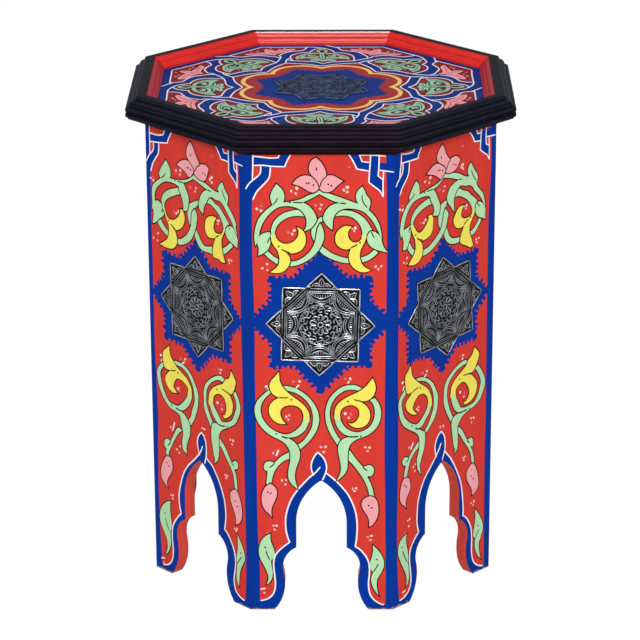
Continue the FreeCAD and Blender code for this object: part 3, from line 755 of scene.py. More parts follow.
# Small dots: place, radius in pixels and colour
PANEL_DOTS = (
    (291, 191, 1.2, "cream"), (296.8, 188.3, 1.6, "cream"), (295.8, 193.7, 1.4, "blush"),
    (256.8, 208.8, 1.3, "cream"), (261, 210.8, 1.4, "cream"), (261.2, 205.8, 1.1, "rose"),
    (315.5, 205.3, 1.5, "rose"), (321.3, 204.8, 1.3, "blush"), (320.2, 208.8, 1.2, "blush"),
    (288.3, 232.3, 1.4, "rose"), (292.2, 234, 1.3, "cream"), (294.2, 230.5, 1.4, "cream"),
    (343.8, 190, 1.5, "blush"), (347.3, 187.3, 1.7, "cream"), (347.3, 192, 1.3, "cream"),
    (351.8, 228.2, 1.2, "cream"), (355.3, 228, 1.3, "white"), (354.2, 230.8, 1.2, "blush"),
    (349.1, 167, 1.1, "rose"), (262.2, 268.2, 1.1, "cream"), (267, 264, 1.2, "cream"),
    (267.4, 270, 1.1, "blush"), (375.6, 266.5, 1.2, "cream"), (381.3, 266.3, 1.1, "cream"),
    (378.3, 269.2, 1.2, "blush"), (293.5, 381.7, 1.5, "rose"), (299.6, 381.4, 1.3, "cream"),
    (266.3, 386.5, 1.4, "white"), (286.3, 416.7, 1.2, "cream"), (289.2, 415.3, 1.2, "blush"),
    (288.3, 419.7, 1.2, "blush"), (345.3, 413.6, 1.4, "white"), (350.8, 414, 1.4, "rose"),
    (348.8, 417.8, 1.3, "blush"), (321, 447, 1.3, "blush"), (325.5, 446.8, 1.3, "cream"),
    (323.8, 452, 1.3, "cream"), (273.3, 453, 1.3, "blush"), (282, 480.3, 1.2, "cream"),
    (286, 479.8, 1.2, "blush"), (285.5, 484.3, 1.3, "blush"), (365.3, 447.3, 1.1, "cream"),
    (369.5, 447.5, 1.3, "cream"), (367.5, 451, 1.2, "blush"), (352.8, 488.7, 1.1, "blush"),
    (356.2, 488.2, 1.2, "cream"), (354.5, 491, 1.2, "cream"), (273.5, 525.8, 1.1, "blush"),
    (276.5, 525.5, 1.2, "cream"), (274.8, 529.5, 1.3, "blush"), (367.8, 537, 1.1, "blush"),
    (371.5, 535.8, 1.3, "cream"), (370.5, 540, 1.2, "blush"), (267.8, 532.7, 0.9, "rose"),
    (345.3, 378.6, 1.2, "rose"), (350.3, 378.8, 1.3, "cream"), (348.4, 382.3, 1.2, "cream"),
    (264.3, 592.7, 1.2, "blush"),
)

# White lines: width in millimetres, and line
PANEL_WHITE = (
    (1.6, "299 384.8, 297.4 386.6, 296 388"),
    (1.5, "278.5 449.8, 277.4 453, 276 456"),
    (1.4, "260.5 589.2, 263 588.7, 265.6 588.4"),
    (1.3, "268.6 388.2, 267.2 390.4, 268.4 392.2"),
    (1.3, "253 148.4!, 252.8 165, 252.3 180"),
    (1.3, "253 156.2!, 261 157, 270 158, 278 157.8!, 282.5 148.4"),
    (1.3, "252.8 165.5!, 262 165.2, 272 166.3, 284.8 166.6!, 287 161, 294 148.4"),
    (1.3, "260.8 166!, 260.4 172, 258 176, 252.3 180.5, 248.5 184.3, 245.6 189"),
    (1.4, "270.3 167!, 269.8 174.5, 268 179.5, 262 186, 256.5 192, 252.6 200"),
    (1.3, "345 148.4!, 353 161, 357 169!, 363 170, 369.3 171"),
    (1.2, "356.5 148.4!, 360.5 157.5, 362 161.5!, 369.8 162.6"),
    (1.3, "358.8 155.3!, 370 154.9, 385.8 156.2"),
    (1.3, "371.2 148.4!, 370 165, 369.3 175, 368.8 182.3!, 374 186.3, 380 191, 383.4 197"),
    (1.3, "379.4 148.4!, 379 165, 378.2 175.8!, 383.2 180"),
    (1.2, "383.7 170.5!, 383.2 180, 383 190, 383.5 197"),
    (1.2, "379.3 170!, 386 171, 394 172"),
    (1.4,
     "313.9 475.5!, 312.3 472.5, 311.2 467.5, 311.9 461.8, 314.6 456, 317.8 452.3!, 321.6 455.6, 325 460.5, "
     "326.5 466, 326.1 471, 324.4 476, 322.4 480.3"),
)

# Blue straps at the top corners and the leaf at the arch's point
PANEL_BLUE = (
    "317.8 453!, 321.6 457, 324.8 461.5, 326 466.5, 325.3 472, 328 476!, 324 481!, 316 481!, 311 478.5!, "
    "313.6 474.5, 311.6 467.5, 312.2 462, 314.7 457",
    "252.5 157!, 261 157.6, 270 158.6, 279 158.2!, 283 148.4!, 293.8 148.4!, 287 161, 284.6 166!, "
    "272 165.7, 262 164.8, 252.5 165!",
    "260.8 165.3!, 260.4 172, 258 176, 252.3 180.5, 247 184!, 247 205!, 252.6 200, 256.5 192, 262 186, "
    "268 179.5, 269.8 174.5, 270.3 166!",
    "345.3 148.4!, 356.5 148.4!, 360.5 157.5, 362 161.8!, 370 162.8!, 369.8 170.8!, 363 169.8, 357 168.8!, "
    "353 161",
    "371.2 148.4!, 379.4 148.4!, 379 165, 378.2 176!, 383.3 180.3!, 383.4 197!, 380 191, 374 186.3, "
    "369 182.3!, 369.3 175, 370 165",
    "378.5 162.8!, 392 163.3!, 392 171.3!, 379 170!",
)

# The white line round the arch, from its point down each side
ARCH_LEFT = (
    "320.3 466.8!, 316 472, 309.5 477.3, 303 484, 297.5 490, 292 498, 288.5 506, 286.3 514, 285.5 522, "
    "286.2 531, 288 538, 289.8 542.2!, 285 545.5, 279.5 550, 275.5 555, 273.8 561, 273.8 568, 274.8 576, "
    "275.5 583, 274.8 590, 272 595.5, 267 599, 260.5 600.5"
)

ARCH_RIGHT = (
    "325.2 472.3!, 330 476, 336 481, 341 486, 347 493, 351.5 501, 355 510, 356.8 520, 357.2 530, 356.3 540, "
    "355.2 546.5!, 360 549.5, 365 555, 368.3 561, 369.5 568, 369.3 575, 368.5 583, 369 590, 371 596, "
    "375 600.5, 380 603.5, 384 604.7"
)

# Inner edges of the blue bands at the panel's sides, from the top down
BAND_LEFT = (
    "252 148.4!, 252 200, 252.2 250, 254.4 315, 254.8 370, 255.2 390, 256.5 450, 257 490, 258 535, 260 570, "
    "260 600!"
)

BAND_RIGHT = (
    "386 148.4!, 387 200, 387 250, 386.1 315, 385 380, 384.5 450, 385 490, 385.5 560, 385.5 604!"
)

# Where yellow runs into green without a line between them
PANEL_BLENDS = (
    "270.8 234.4, 275 234.2, 275.5 238.2, 271.4 238.8",
    "366.3 234.6, 362.3 234.2, 361.9 238, 365.9 238.6",
    "303.9 416.4, 309.2 416.6, 308.9 422.4, 303.5 422",
    "334.6 414.4, 339.8 414.8, 339.7 419.8, 334.8 419.4",
)


# The same painting on the two sides next to the front, where the brush set it down a little differently.
# Each mark is a place on the front, in pixels, and then where the same place of the painting lies on the left
# side and on the right side, in millimetres across and up. FRAME marks go round the straps, bands and arch,
# VINE marks the rest
FRAME_MARKS = (
    "284.8 166.6 -39.5 473 -40.5 474.5, 289.2 157 -35 482.7 -37.5 482.7, 252.8 165.5 -66 469.2 -64 474.5, "
    "270.3 167 -52.5 470 -52.5 473.5, 262 186 -58.5 452.5 -58.5 454, 252.6 200 -65.5 438 -65.8 442, "
    "357 169 39 473.5 40.5 473.8, 349 154.7 31.5 485 33.5 485, 368.8 182.3 49.5 463 49 463.5, "
    "369.3 171 49.5 473 49 473, 383.4 197 61.2 448.5 62.5 450.5, 378.2 175.8 57.5 467.5 57.5 468, "
    "379.3 170 57 475 57.5 475.5, 260.8 166 -60.5 469 -61.5 473.5, 258 176 -62 460 -63 463, "
    "252.2 250 -66.5 388 -66.5 388, 254.4 315 -66 320.6 -66.1 320.6, 255.2 390 -65.8 241 -66.4 241, "
    "257 490 -65.2 133 -66.2 133, 260 570 -64.8 44.4 -66 44.4, 387 250 63 388 62.8 388, "
    "386.1 315 63.9 320.5 62.8 320.5, 385 380 65 251.9 63 251.9, 385 490 66 133 63.2 133, "
    "385.5 570 66.5 44.4 64 44.4, 317.8 452.3 2.8 175 -3.2 176.5, 311.2 467.5 -3.8 160 -12.2 161, "
    "326.5 466 9.5 160 2.8 161, 320.3 466.8 4 161 -2.8 164, 325.2 472.3 8.5 150 1.8 154, "
    "309.5 477.3 -4 147 -14 147, 336 481 17.5 143.5 11 143, 297.5 490 -18 133 -26 133, "
    "286.3 514 -31.3 106.5 -36.8 106, 285.5 522 -33.5 97.5 -37.6 97.5, 289.8 542.2 -31 74.5 -35 75, "
    "273.8 564 -45.8 45 -48 48, 275.5 583 -45 28 -46 28, 260.5 600.5 -62 6 -62.5 6.5, "
    "347 493 27.3 129.7 18.8 129.7, 355 510 35.3 111 27 111, 356.8 520 37 100 29.3 100, "
    "357.2 530 37.2 90 30.7 88, 355.2 546.5 35 78 31.2 72, 369.5 568 51 46 45 44, 368.5 583 48.3 28 45 28, "
    "384 604.7 63.5 7 63 4.5"
)
VINE_MARKS = (
    "279.3 261 -40 378.5 -43.9 378.9, 290.2 261 -28.5 377 -33.3 378.9, 283.5 271.3 -34 364 -40.6 366.7, "
    "288.8 243.4 -32.5 394.5 -36 397.5, 275.2 240 -44.5 399.5 -46 404, 270.3 236 -49 403.5 -51.2 407, "
    "315.8 157.5 -5.5 481.8 -6.5 481.2, 319.3 187.5 -0.8 451.5 -0.8 453.5, 292.5 183.8 -26 453.5 -28 455, "
    "343.2 181 21 459.3 20 459.8, 319.3 193.8 -2.5 444.5 -4.5 446.5, 304.5 175.4 -12.5 461.5 -15 463, "
    "309.5 191.8 -8.5 444.8 -8.5 446, 328.5 175.2 12 462 9.5 464.8, 326 192 10 445.2 6.5 449.5, "
    "309.3 165 -11.2 470 -14 470, 326 173 5 465 2 466, 276.3 184 -42.2 455 -43.2 452, "
    "272.3 204.8 -50.5 434.5 -51.5 434.2, 270.3 197 -52.8 439 -52.5 438, 284.4 196 -35.5 443 -38.5 443, "
    "282 203 -38.5 436.5 -39.5 436, 362.3 186.4 40 450.3 35.5 453.5, 367.5 208.6 45 431 43.5 432, "
    "356 195 33.5 442 31 446, 370.5 202 48.5 436 45.5 437, 358.5 204.2 36.5 438.5 33.5 439, "
    "302.5 202.4 -17.5 437 -19 438, 303 231.5 -19 407.5 -20 411.5, 316.7 219.5 -10 417 -9.2 420, "
    "306.6 223 -17.8 416 -17.5 419, 299 209 -23.5 431 -23 431, 254.3 238 -63.8 406 -65.3 405, "
    "304.5 211.8 -22.5 428 -21 427.5, 305.5 216.6 -20.5 423.5 -19.5 423, 258.3 255.5 -64.5 383.5 -61 385, "
    "265 232.6 -56 409.5 -55 406.5, 257.5 244 -63 400 -62 400, 266.5 251 -54 391 -53 391, "
    "297 227 -22.3 408 -26 411, 305.9 240 -15.8 400 -18.5 402, 294.5 253 -28 385 -28 389, "
    "270.2 272.2 -54.4 363.9 -53.3 367.8, 322.5 217 5 423 -0.5 420, 311.4 232 -11.2 404 -10.5 403, "
    "315 242.5 -7.3 392 -7 393, 320.2 223.3 -1.5 413 -1 413.5, 323.9 238 2.2 402 2.5 404, "
    "319.3 249.2 -2 389 -1.5 391, 290 264 -27.2 373.3 -32.2 375, 319.5 251 -1.5 385 -3 388, "
    "352.5 260 25.6 373.9 21.7 377.2, 340 256.5 13.9 377.8 10.6 380, 359.5 260 39.4 377.8 36.1 379.4, "
    "378 253 54 387 51.5 389, 264 253.5 -57 387 -54.5 385, 278.5 263 -43.3 377.8 -46.7 377.8, "
    "340.5 203 19 437.5 19 439.5, 332.3 229.7 11.5 411 12 407.5, 323.2 218.5 5.5 421 1.5 423, "
    "324.3 213.5 8 428 2.5 429, 332.8 222 13 419 11 417, 346 208.5 25 431.5 21 433, "
    "382 240 61.5 400 58 403, 379 224 59.5 411 54 417, 372 213 52 423 45 427, "
    "333.5 214.5 16.5 425.5 11.5 424.5, 351 211 29 425.5 25 426.5, 364 218 41 418 36 420, "
    "367.5 240 44 401 43.5 401, 388 252.4 60.5 387 58 389, 370.5 231.3 47.5 407 44.5 409.5, "
    "381 238 57 404 56 404, 371 246.5 46.5 394 46.5 395, 362.3 236 41 400 39 401.5, "
    "352 226.8 31 411.5 26.5 411.5, 346 225.7 26 412 20 411, 335.2 238.5 14.2 400 11.2 400, "
    "346 249.3 25 389 22 388.5, 348 234.5 26.5 401 22 402, 353.3 242.2 31 395.5 28 397, "
    "370.5 270.3 42.8 367.8 40 365.6, 348.8 258 25.8 380.6 22.2 379.4, 357 270.3 32.8 369.4 30.6 367.8, "
    "360 258.5 38.3 380.6 34.4 379.4, 282.5 385.8 -38 242.5 -41.5 244, 314.5 404.5 -6 226 -12.5 226, "
    "319.2 420 -1.3 210 -8.8 211, 313 436.5 -5 193 -13 195, 300 449.5 -12.8 178.5 -26 181, "
    "313 419 -6.5 208 -14.5 211, 269.8 389.5 -54.5 236 -57 236.5, 254.6 410.5 -63.2 217 -65.6 217, "
    "266 431.8 -53.5 196.5 -57 197, 280 439.8 -36 187 -42 187, 288.8 448.8 -27.5 178 -35.5 179, "
    "290.4 455 -26 172 -35 173, 288.3 477 -27 155 -38.8 155, 297.8 489.2 -20.2 144.5 -32.5 138, "
    "294.9 475.5 -20.2 153 -34.5 148, 299 460.5 -15 167 -28.5 165, 300 453.5 -14.5 175 -27 175, "
    "293.5 441.2 -22 187 -31 185, 286.8 437.3 -30 190.5 -38 189.5, 300 434.6 -20 195 -27 196, "
    "309.5 417 -11 215 -17.8 213, 303.6 417 -16.2 215 -23 213, 287 434.3 -32 194.5 -38 195, "
    "260.6 411 -57.2 216 -60 215, 279 371.5 -43.9 256.9 -48.9 260.6, 269.5 387.5 -53.8 242 -56.5 244, "
    "279.5 397.7 -42.5 230.5 -45 232, 268.9 409.5 -51 218 -55.8 219, 274 420.7 -46 210 -49 209.5, "
    "285.8 423.9 -33 208.5 -39 206, 281.3 409.3 -38 216 -45 216, 290.5 405.2 -32 224.5 -36 226, "
    "300.8 409 -18 220 -25 221, 301.5 402.8 -19 229 -24 229, 288.5 393 -33 237 -37 239, "
    "279.9 381 -42.5 247 -46 248, 291 451.5 -28 167.5 -36.5 175.5, 274.2 462.6 -45 152 -50.5 162, "
    "263.8 465.8 -55 147.5 -60 160, 267.6 471.2 -51.5 141 -55 154, 266.3 485 -51.5 134.5 -57.8 141.5, "
    "271 485 -47.8 134.5 -53.5 141.5, 270.2 483.5 -51 132.5 -55 140, 261.6 498.5 -60.7 117 -63.2 125, "
    "276.8 490.5 -42.8 124 -48 132, 272 517.3 -51 97 -54 107, 270.5 533.8 -47.5 83 -53 78, "
    "259 553.5 -65 59 -65 59, 266.5 584.5 -57 19.5 -53.5 19.5, 275 554 -46.5 57 -51 58, "
    "271 560.7 -49 48 -50.5 45, 272.6 571 -48 39 -49.2 35, 363 388.7 39.5 243.5 35 243, "
    "349.5 385 33 245.5 28 244.5, 335.5 391.5 18 238 12 237, 325.3 415 7.5 212 0 215, "
    "330 433 11.5 195 4 195, 338.5 446.5 18 184 12 181, 374.8 397.8 54.5 234.5 50.5 234.5, "
    "380.9 410 61.5 219 61.2 216, 377.8 425.5 57 205 58 202, 365.5 436 46 194 45 190, "
    "352 442.5 33 186 28 184, 348.8 447.8 29 181 21.5 176, 347.6 455 28.5 172 21 170, "
    "347 469.5 28.5 158 21.5 156, 336.5 480.8 21.5 146.5 17 146, 340.8 465.5 21 155 15.5 155, "
    "338 449.5 17.5 175 12.2 177, 351 436.5 30 191.5 26 189, 334.3 415 14.3 214 9.8 213, "
    "339.8 415.5 20 213 16.5 212, 351 430.9 33 196.5 26 194, 365 430 48 201 46.5 195, "
    "374.9 411.5 56 218 55 216, 372.7 378 48.6 255.3 45 255, 375.7 389 55.5 245 52.2 246, "
    "360 401 44 230 38 228.5, 355.5 400.2 36 231.5 30 228, 370 417.5 50 214 49.5 211, "
    "362.5 427 44 204.5 40 197.5, 348 423 35.8 204 30 199.5, 358.8 409.8 40 218 37 212, "
    "350.5 405 31 225.5 28 222, 341 410.3 22 219 18 216, 343.5 399.2 22 230 17 228, "
    "358 392 36 237.5 33 238.5, 369 382.8 45.5 246 41 247, 348.5 449 29.8 176 21.5 175, "
    "347.5 459.5 29 170 21.5 168, 369.5 465 52 159 41 156.5, 374 471 56.8 155 45 150, "
    "368.2 477.5 52 148.5 42 145.5, 363 467 47.5 155 36 155, 369.5 497 52 126 43.5 125.5, "
    "374.2 497 55.5 126 47 125.5, 361.6 505 44.5 117 35.5 115, 378.3 507 61.5 109 53.5 108, "
    "369.2 526.7 52.5 89 44.5 91, 372.8 545 54 78 49.5 73.5, 383.8 560.5 65 57 62 52, "
    "378.4 595.2 56 20.5 59.5 13.5, 370 563 53 54 47.5 48, 373.2 572.2 54 46.5 50.5 40, "
    "371.2 578 52.5 35 50 32"
)

# Marks that only one of the two sides has
LEFT_VINE = (
    "271.5 241 -45.5 398.5, 274 246 -43.5 394, 277.3 250.3 -41 389.5, 279 255.5 -40 384, 277 267 -43 371.5, "
    "281.8 250.3 -36 388, 285 252 -33.5 385.5, 288.8 255.5 -30 382.5, 283 243.3 -38.5 394, "
    "278.3 240.5 -42.5 396, 273.3 430 -47 196, 292.8 202.3 -26 436.5"
)
RIGHT_VINE = (
    "302 391.8 -23 239"
)


# The blue star round each plaque: half its square's width and height, half its diamond's, and where its
# middle lies from the plaque's, in millimetres
FRONT_STAR = (48.5, 46.0, 70.0, 73.5, 0.3, 2.6)
LEFT_STAR = (48.0, 45.5, 67.0, 68.0, -1.0, 0.0)
RIGHT_STAR = (49.0, 47.0, 66.5, 69.0, -3.0, 1.8)

# The fringe of teeth round a star, in millimetres: how far apart they stand, where their roots lie and how
# they are drawn. A side's pairs are shares of a tooth's lean and height
TOOTH_PITCH = 6.0
TOOTH_ROOT = -1.8
TOOTH_TOP = 4.0
TOOTH_HALF_WIDTH = 1.75
TOOTH_SHIFT = 0.12
TOOTH_HEIGHTS = (0.55, 1.15)
TOOTH_WIDTHS = (0.8, 1.15)
TOOTH_LEAN = 1.0
ROOT_SPREAD = 1.3
TOOTH_SIDE = ((0.3, 0.35), (0.8, 0.75))
CORNER_DAB = 0.7
TEETH_UNDER = 0.01
TOOTH_PARTS = 2

# Which side's marks and star each side follows. The five sides behind aren't in the photograph, so they
# repeat the three that are, with a slow drift of their own
FOLLOWED = (0, 1, 7, 1, 0, 7, 1, 7)
SEEN_SIDES = (0, 1, 7)
DRIFT_SIZE = 1.1
STIFFNESS = 4.0
NO_GAP = 1e-9

# The drift's waves, in millimetres a radian, and the size of each second wave beside its first
LONG_WAVE, SHORT_WAVE, SLANT_WAVE, SHORT_SHARE = 61, 23, 40, 0.6
CROSS_WAVE, RISE_WAVE, RISE_SHARE = 27, 47, 0.8

# The painted shadow along each panel under the rim: a dark band where the rim's overhang casts shade
PANEL_LIMIT = RIM_BOTTOM - 0.15
RIM_SHADOW_FOOT = 485.1
RIM_SHADOW_RISE = 0.44

BLEND_RISE = 0.36
ARCH_LINE = 1.5
STROKE_GROWTH = 1.35
INK_DOT = 0.95
DOT_GROWTH = 1.05

# The first white strokes in their table stand loose among the vines
LOOSE_STROKES = 4


def star_corners(half_width, half_height, side_tip, top_tip):
    """Corners of a square and a diamond laid over each other, anticlockwise from the right tip."""
    slope = top_tip / side_tip
    cut_up = slope * (side_tip - half_width)
    cut_across = (top_tip - half_height) / slope
    quarter = [(side_tip, 0), (half_width, cut_up), (half_width, half_height),
               (cut_across, half_height), (0, top_tip)]
    left = [(-x, y) for x, y in quarter[-2::-1]]
    below = [(x, -y) for x, y in (quarter[1:] + left)[-2::-1]]
    return quarter + left + below


def tooth(half, lean, top):
    """A tooth's outline, along an edge and out from it: wide at the root, leaning at the tip."""
    root = half * ROOT_SPREAD
    right = [(half + lean * over, top * high) for over, high in TOOTH_SIDE]
    left = [(lean * over - half, top * high) for over, high in TOOTH_SIDE[::-1]]
    return [(-root, TOOTH_ROOT), (root, TOOTH_ROOT), *right, (lean, top), *left]


def fringe(coat, corners, chance, spot, size=1.0, proud=BLUE_SHAPE - TEETH_UNDER):
    """Small round teeth along an outline, each a little different, as a brush leaves them."""
    for x, y in corners[::2]:
        dot(coat, x, y, TOOTH_TOP * size * CORNER_DAB, proud - LAYER_STEP, spot, chance)
    placed = 0
    for (x0, y0), (x1, y1) in zip(corners, corners[1:] + corners[:1]):
        length = math.hypot(x1 - x0, y1 - y0)
        teeth = max(1, round(length / TOOTH_PITCH / size))
        ax, ay = (x1 - x0) / length, (y1 - y0) / length
        for index in range(teeth):
            middle = (index + 0.5 + chance.uniform(-TOOTH_SHIFT, TOOTH_SHIFT)) * length / teeth
            top = TOOTH_TOP * size * chance.uniform(*TOOTH_HEIGHTS)
            half = TOOTH_HALF_WIDTH * size * chance.uniform(*TOOTH_WIDTHS)
            lean = chance.uniform(-TOOTH_LEAN, TOOTH_LEAN) * size
            outline = []
            for along, out in tooth(half, lean, top):
                far = middle + along
                outline.append((x0 + ax * far + ay * out, y0 + ay * far - ax * out, out < 0))
            slab(coat, smooth(outline, parts=TOOTH_PARTS), proud + layer(placed, 3), spot)
            placed += 1


def fuzzy_star(coat, corners, centre, chance, spot):
    """A blue star with a fringe of teeth round it."""
    placed = [(centre[0] + x, centre[1] + y) for x, y in corners]
    slab(coat, placed, BLUE_SHAPE, spot)
    fringe(coat, placed, chance, spot)


def bend(gaps):
    """How a thin sheet gives way at a distance from a mark."""
    return gaps ** 2 * numpy.log(gaps + NO_GAP)


def marks_of(text, side):
    """The front's places in a table of marks, with those of its first side (0) or its second (1)."""
    rows = [[float(word) for word in row.split()] for row in text.split(",")]
    return [(*row[:2], *row[2 + 2 * side:4 + 2 * side]) for row in rows]


def sheet_through(rows):
    """Moves places on the front to where a side's marks put them, and smoothly between the marks."""
    fronts = numpy.array([on_panel(0, x, y) for x, y, _, _ in rows])
    moves = numpy.array([(across, up) for _, _, across, up in rows]) - fronts
    count = len(rows)
    flat = numpy.column_stack((numpy.ones(count), fronts))
    sheet = numpy.zeros((count + 3, count + 3))
    gaps = numpy.linalg.norm(fronts[:, None] - fronts[None], axis=2)
    sheet[:count, :count] = bend(gaps) + STIFFNESS * numpy.eye(count)
    sheet[:count, count:] = flat
    sheet[count:, :count] = flat.T
    weights = numpy.linalg.solve(sheet, numpy.vstack((moves, numpy.zeros((3, 2)))))

    def moved(across, up):
        away = numpy.hypot(fronts[:, 0] - across, fronts[:, 1] - up)
        step = numpy.append(bend(away), (1.0, across, up)) @ weights
        return across + float(step[0]), up + float(step[1])

    return moved


def four_turns(seed):
    """The seeded starts of four waves."""
    chance = random.Random(seed)
    return [chance.uniform(0, 2 * math.pi) for _ in range(4)]


def drift(side):
    """A slow seeded drift, so that no two sides are painted quite alike; the sides that show have none."""
    turns = four_turns(DRIFT_SEED + side)
    size = 0.0 if side in SEEN_SIDES else DRIFT_SIZE

    def moved(across, up):
        slanted = SHORT_SHARE * math.sin(up / SHORT_WAVE + across / SLANT_WAVE + turns[1])
        sideways = math.sin(up / LONG_WAVE + turns[0]) + slanted
        upward = math.sin(across / CROSS_WAVE + turns[2]) + RISE_SHARE * math.sin(up / RISE_WAVE + turns[3])
        return across + size * sideways, min(up + size * upward, PANEL_LIMIT)

    return moved


def stay(across, up):
    """The front's own painting lies where its marks are."""
    return across, up


# Followed side, its blue star, and the moves of its frame and of its vines
SIDE_WAYS = {
    0: (FRONT_STAR, stay, stay),
    1: (RIGHT_STAR, sheet_through(marks_of(FRAME_MARKS, 1)),
        sheet_through(marks_of(VINE_MARKS, 1) + marks_of(RIGHT_VINE, 0))),
    7: (LEFT_STAR, sheet_through(marks_of(FRAME_MARKS, 0)),
        sheet_through(marks_of(VINE_MARKS, 0) + marks_of(LEFT_VINE, 0))),
}


def placing(way, drifted):
    """A function from a pixel of the front to where a side has that place."""
    def place(x, y):
        return drifted(*way(*on_panel(0, x, y)))

    return place


def side_curve(text, place, closed=True):
    """The curve or outline of a text, as a side has it."""
    return smooth([(*place(x, y), corner) for x, y, corner in read_path(text)], closed)


def paint_ground(coats, star, frame_place, spot, chance):
    """The red ground between the bands and the arch, the star round the plaque and the blue straps."""
    ground = side_curve(BAND_LEFT, frame_place, False)[::-1] + side_curve(BAND_RIGHT, frame_place, False)
    ground += side_curve(ARCH_RIGHT, frame_place, False)[::-1] + side_curve(ARCH_LEFT, frame_place, False)
    slab(coats["red"], ground, RED_GROUND, spot)
    fuzzy_star(coats["blue"], star_corners(*star[:4]), (star[4], PLAQUE_Z + star[5]), chance, spot)
    for index, text in enumerate(PANEL_BLUE):
        slab(coats["blue"], side_curve(text, frame_place), BLUE_SHAPE + layer(index + 1), spot)


def paint_white(coats, frame_place, vine_place, spot):
    """The white lines along the straps and the arch, and the loose strokes among the vines."""
    lines = (*PANEL_WHITE, (ARCH_LINE, ARCH_LEFT), (ARCH_LINE, ARCH_RIGHT))
    for index, (width, text) in enumerate(lines):
        place = vine_place if index < LOOSE_STROKES else frame_place
        ribbon(coats["white"], side_curve(text, place, False), width, WHITE_LINE + layer(index), spot)


def paint_vines(coats, place, spot, chance):
    """The vines, leaves and flowers, the ink strokes and dots on them, and the dots between them."""
    for index, (colour, level, text) in enumerate(PANEL_SHAPES):
        inked_shape(coats, colour, side_curve(text, place), level, index, spot)
    for text in PANEL_BLENDS:
        slab(coats["lime"], side_curve(text, place), BLEND_RISE, spot)
    for width, level, text in PANEL_INK:
        stroke = side_curve(text, place, False)
        ribbon(coats["ink"], stroke, width * STROKE_GROWTH, detail_top(level), spot, STROKE_TAPER)
    for x, y, level in PANEL_INK_DOTS:
        dot(coats["ink"], *place(x, y), INK_DOT, detail_top(level), spot, chance)
    for x, y, radius, colour in PANEL_DOTS:
        dot(coats[colour], *place(x, y), radius * DOT_GROWTH, WHITE_LINE, spot, chance)


def paint_panel(side, coats):
    """All the painting of one side panel, with the painted shadow under its rim."""
    spot = panel_spot(side)
    star, frame_way, vine_way = SIDE_WAYS[FOLLOWED[side]]
    drifted = drift(side)
    frame_place, vine_place = placing(frame_way, drifted), placing(vine_way, drifted)
    chance = random.Random(PANEL_SEED + side)
    paint_ground(coats, star, frame_place, spot, chance)
    paint_white(coats, frame_place, vine_place, spot)
    paint_vines(coats, vine_place, spot, chance)
    # The painted shadow under the rim: a dark band across the panel's top, just below the rim
    under_rim_shadow = ((-CORNER_U, RIM_SHADOW_FOOT), (CORNER_U, RIM_SHADOW_FOOT),
                 (CORNER_U, PANEL_LIMIT), (-CORNER_U, PANEL_LIMIT))
    slab(coats["rim_shadow"], under_rim_shadow, RIM_SHADOW_RISE, spot)


COAT_COLOURS = {"red": RED, "blue": BLUE, "green": GREEN, "yellow": YELLOW, "pink": PINK}
# The rim's entry among these paints is the painted shadow under the rim
LINE_COLOURS = {"ink": INK, "lime": LIME, "rim_shadow": RIM_SHADOW, **DOT_COLOURS}


def paint_panels():
    """The painting of all eight sides, one piece to a paint."""
    coats = {name: Coat() for name in (*COAT_COLOURS, *LINE_COLOURS)}
    for side in range(SIDES):
        paint_panel(side, coats)
    for name, rgb in COAT_COLOURS.items():
        add_piece(f"side_{name}", coats[name], paint(f"side_{name}_paint", rgb))
    for name, rgb in LINE_COLOURS.items():
        add_piece(f"side_{name}", coats[name], line_paint(f"{name}_paint", rgb))


paint_panels()


# The top board's painting, in millimetres: across the middle line of a side, and out from the centre.
# Shapes on one side of the line are repeated on the other
MEDALLION = (
    "0 150.5, 7.5 146, 11.5 139.5, 13 134!, 20 133, 27 129, 32.5 121, 33.5 111, 32 100.5!, 22 99, 12 97, "
    "5.5 93.5, 0 88.5!"
)
OUTER_LINE = (
    "17 155.5!, 17.5 150, 21 142.5, 28 139.5, 35.5 136, 41 130.5, 45.5 121!"
)
FOIL_LINE = (
    "0 80!, 6 82.5, 14 86.5, 24 89.3, 33 90.7, 38 91.7!"
)
BORDER_OVER = (
    "-5 148.5, 0 151.5, 5 153.8, 11 155.3, 18 155.6, 40 155, 64.4 155.5!"
)
BORDER_TIP = (
    "-3.5 162.8, -8.5 159, -13.5 154.8, -17.3 151.5"
)
BORDER_SHORT = (
    "-13.5 154.8, -20 155.2, -40 155.3, -64.4 155.5!"
)
KNOT_LINES = (
    "-53.4 117.7, -51 112.5, -45 108, -38.5 103.5, -32 100.5",
    "-55.5 102.9, -50 101.5, -44 97.5, -40.5 94, -38 91.7",
    "-45.5 121, -47.8 116.5, -47.5 110.5",
    "-47.5 99.8, -49 96.5, -48.4 93.7",
)

# Colour, level, outline; then whether it has a twin across the line
PALMETTE = (
    ("leaf", 0,
     "0 96.5!, 4 99.5, 9 98.8, 14 100.5!, 12.5 104.5, 8.5 106.6, 16.5 108!, 12.5 111, 6 111.8, "
     "2.5 115, -2.5 115, -6 111.8, -12.5 111, -16.5 108!, -8.5 106.6, -12.5 104.5, -14 100.5!, "
     "-9 98.8, -4 99.5", False),
    ("leaf", 1,
     "2.5 112.6!, 8 110.8, 15 111, 21.5 108.6, 28 105.5!, 28.4 111.5, 26.5 117.5, 22 123.8, "
     "16 128.6, 9 131, 2.5 130.2!, 3.5 126.6, 9 126.8, 14.2 124.2, 17.8 119.8, 18.3 115.9, "
     "13.5 114.8, 8 115.2, 4 118!", True),
    ("leaf", 2,
     "11 124!, 14.4 121.8, 15.2 118.6, 12.6 116.6, 9 117, 6.6 119.4, 6.8 122.4!, 8.6 120.4, 10.8 120.2, "
     "11.4 121.8", True),
    ("leaf", 3,
     "0 145.5, 4 143, 6 138.8, 5.2 134, 2.8 129.8, 2.3 122, 2.8 112, 0 104, -2.8 112, -2.3 122, -2.8 129.8, "
     "-5.2 134, -6 138.8, -4 143", False),
)
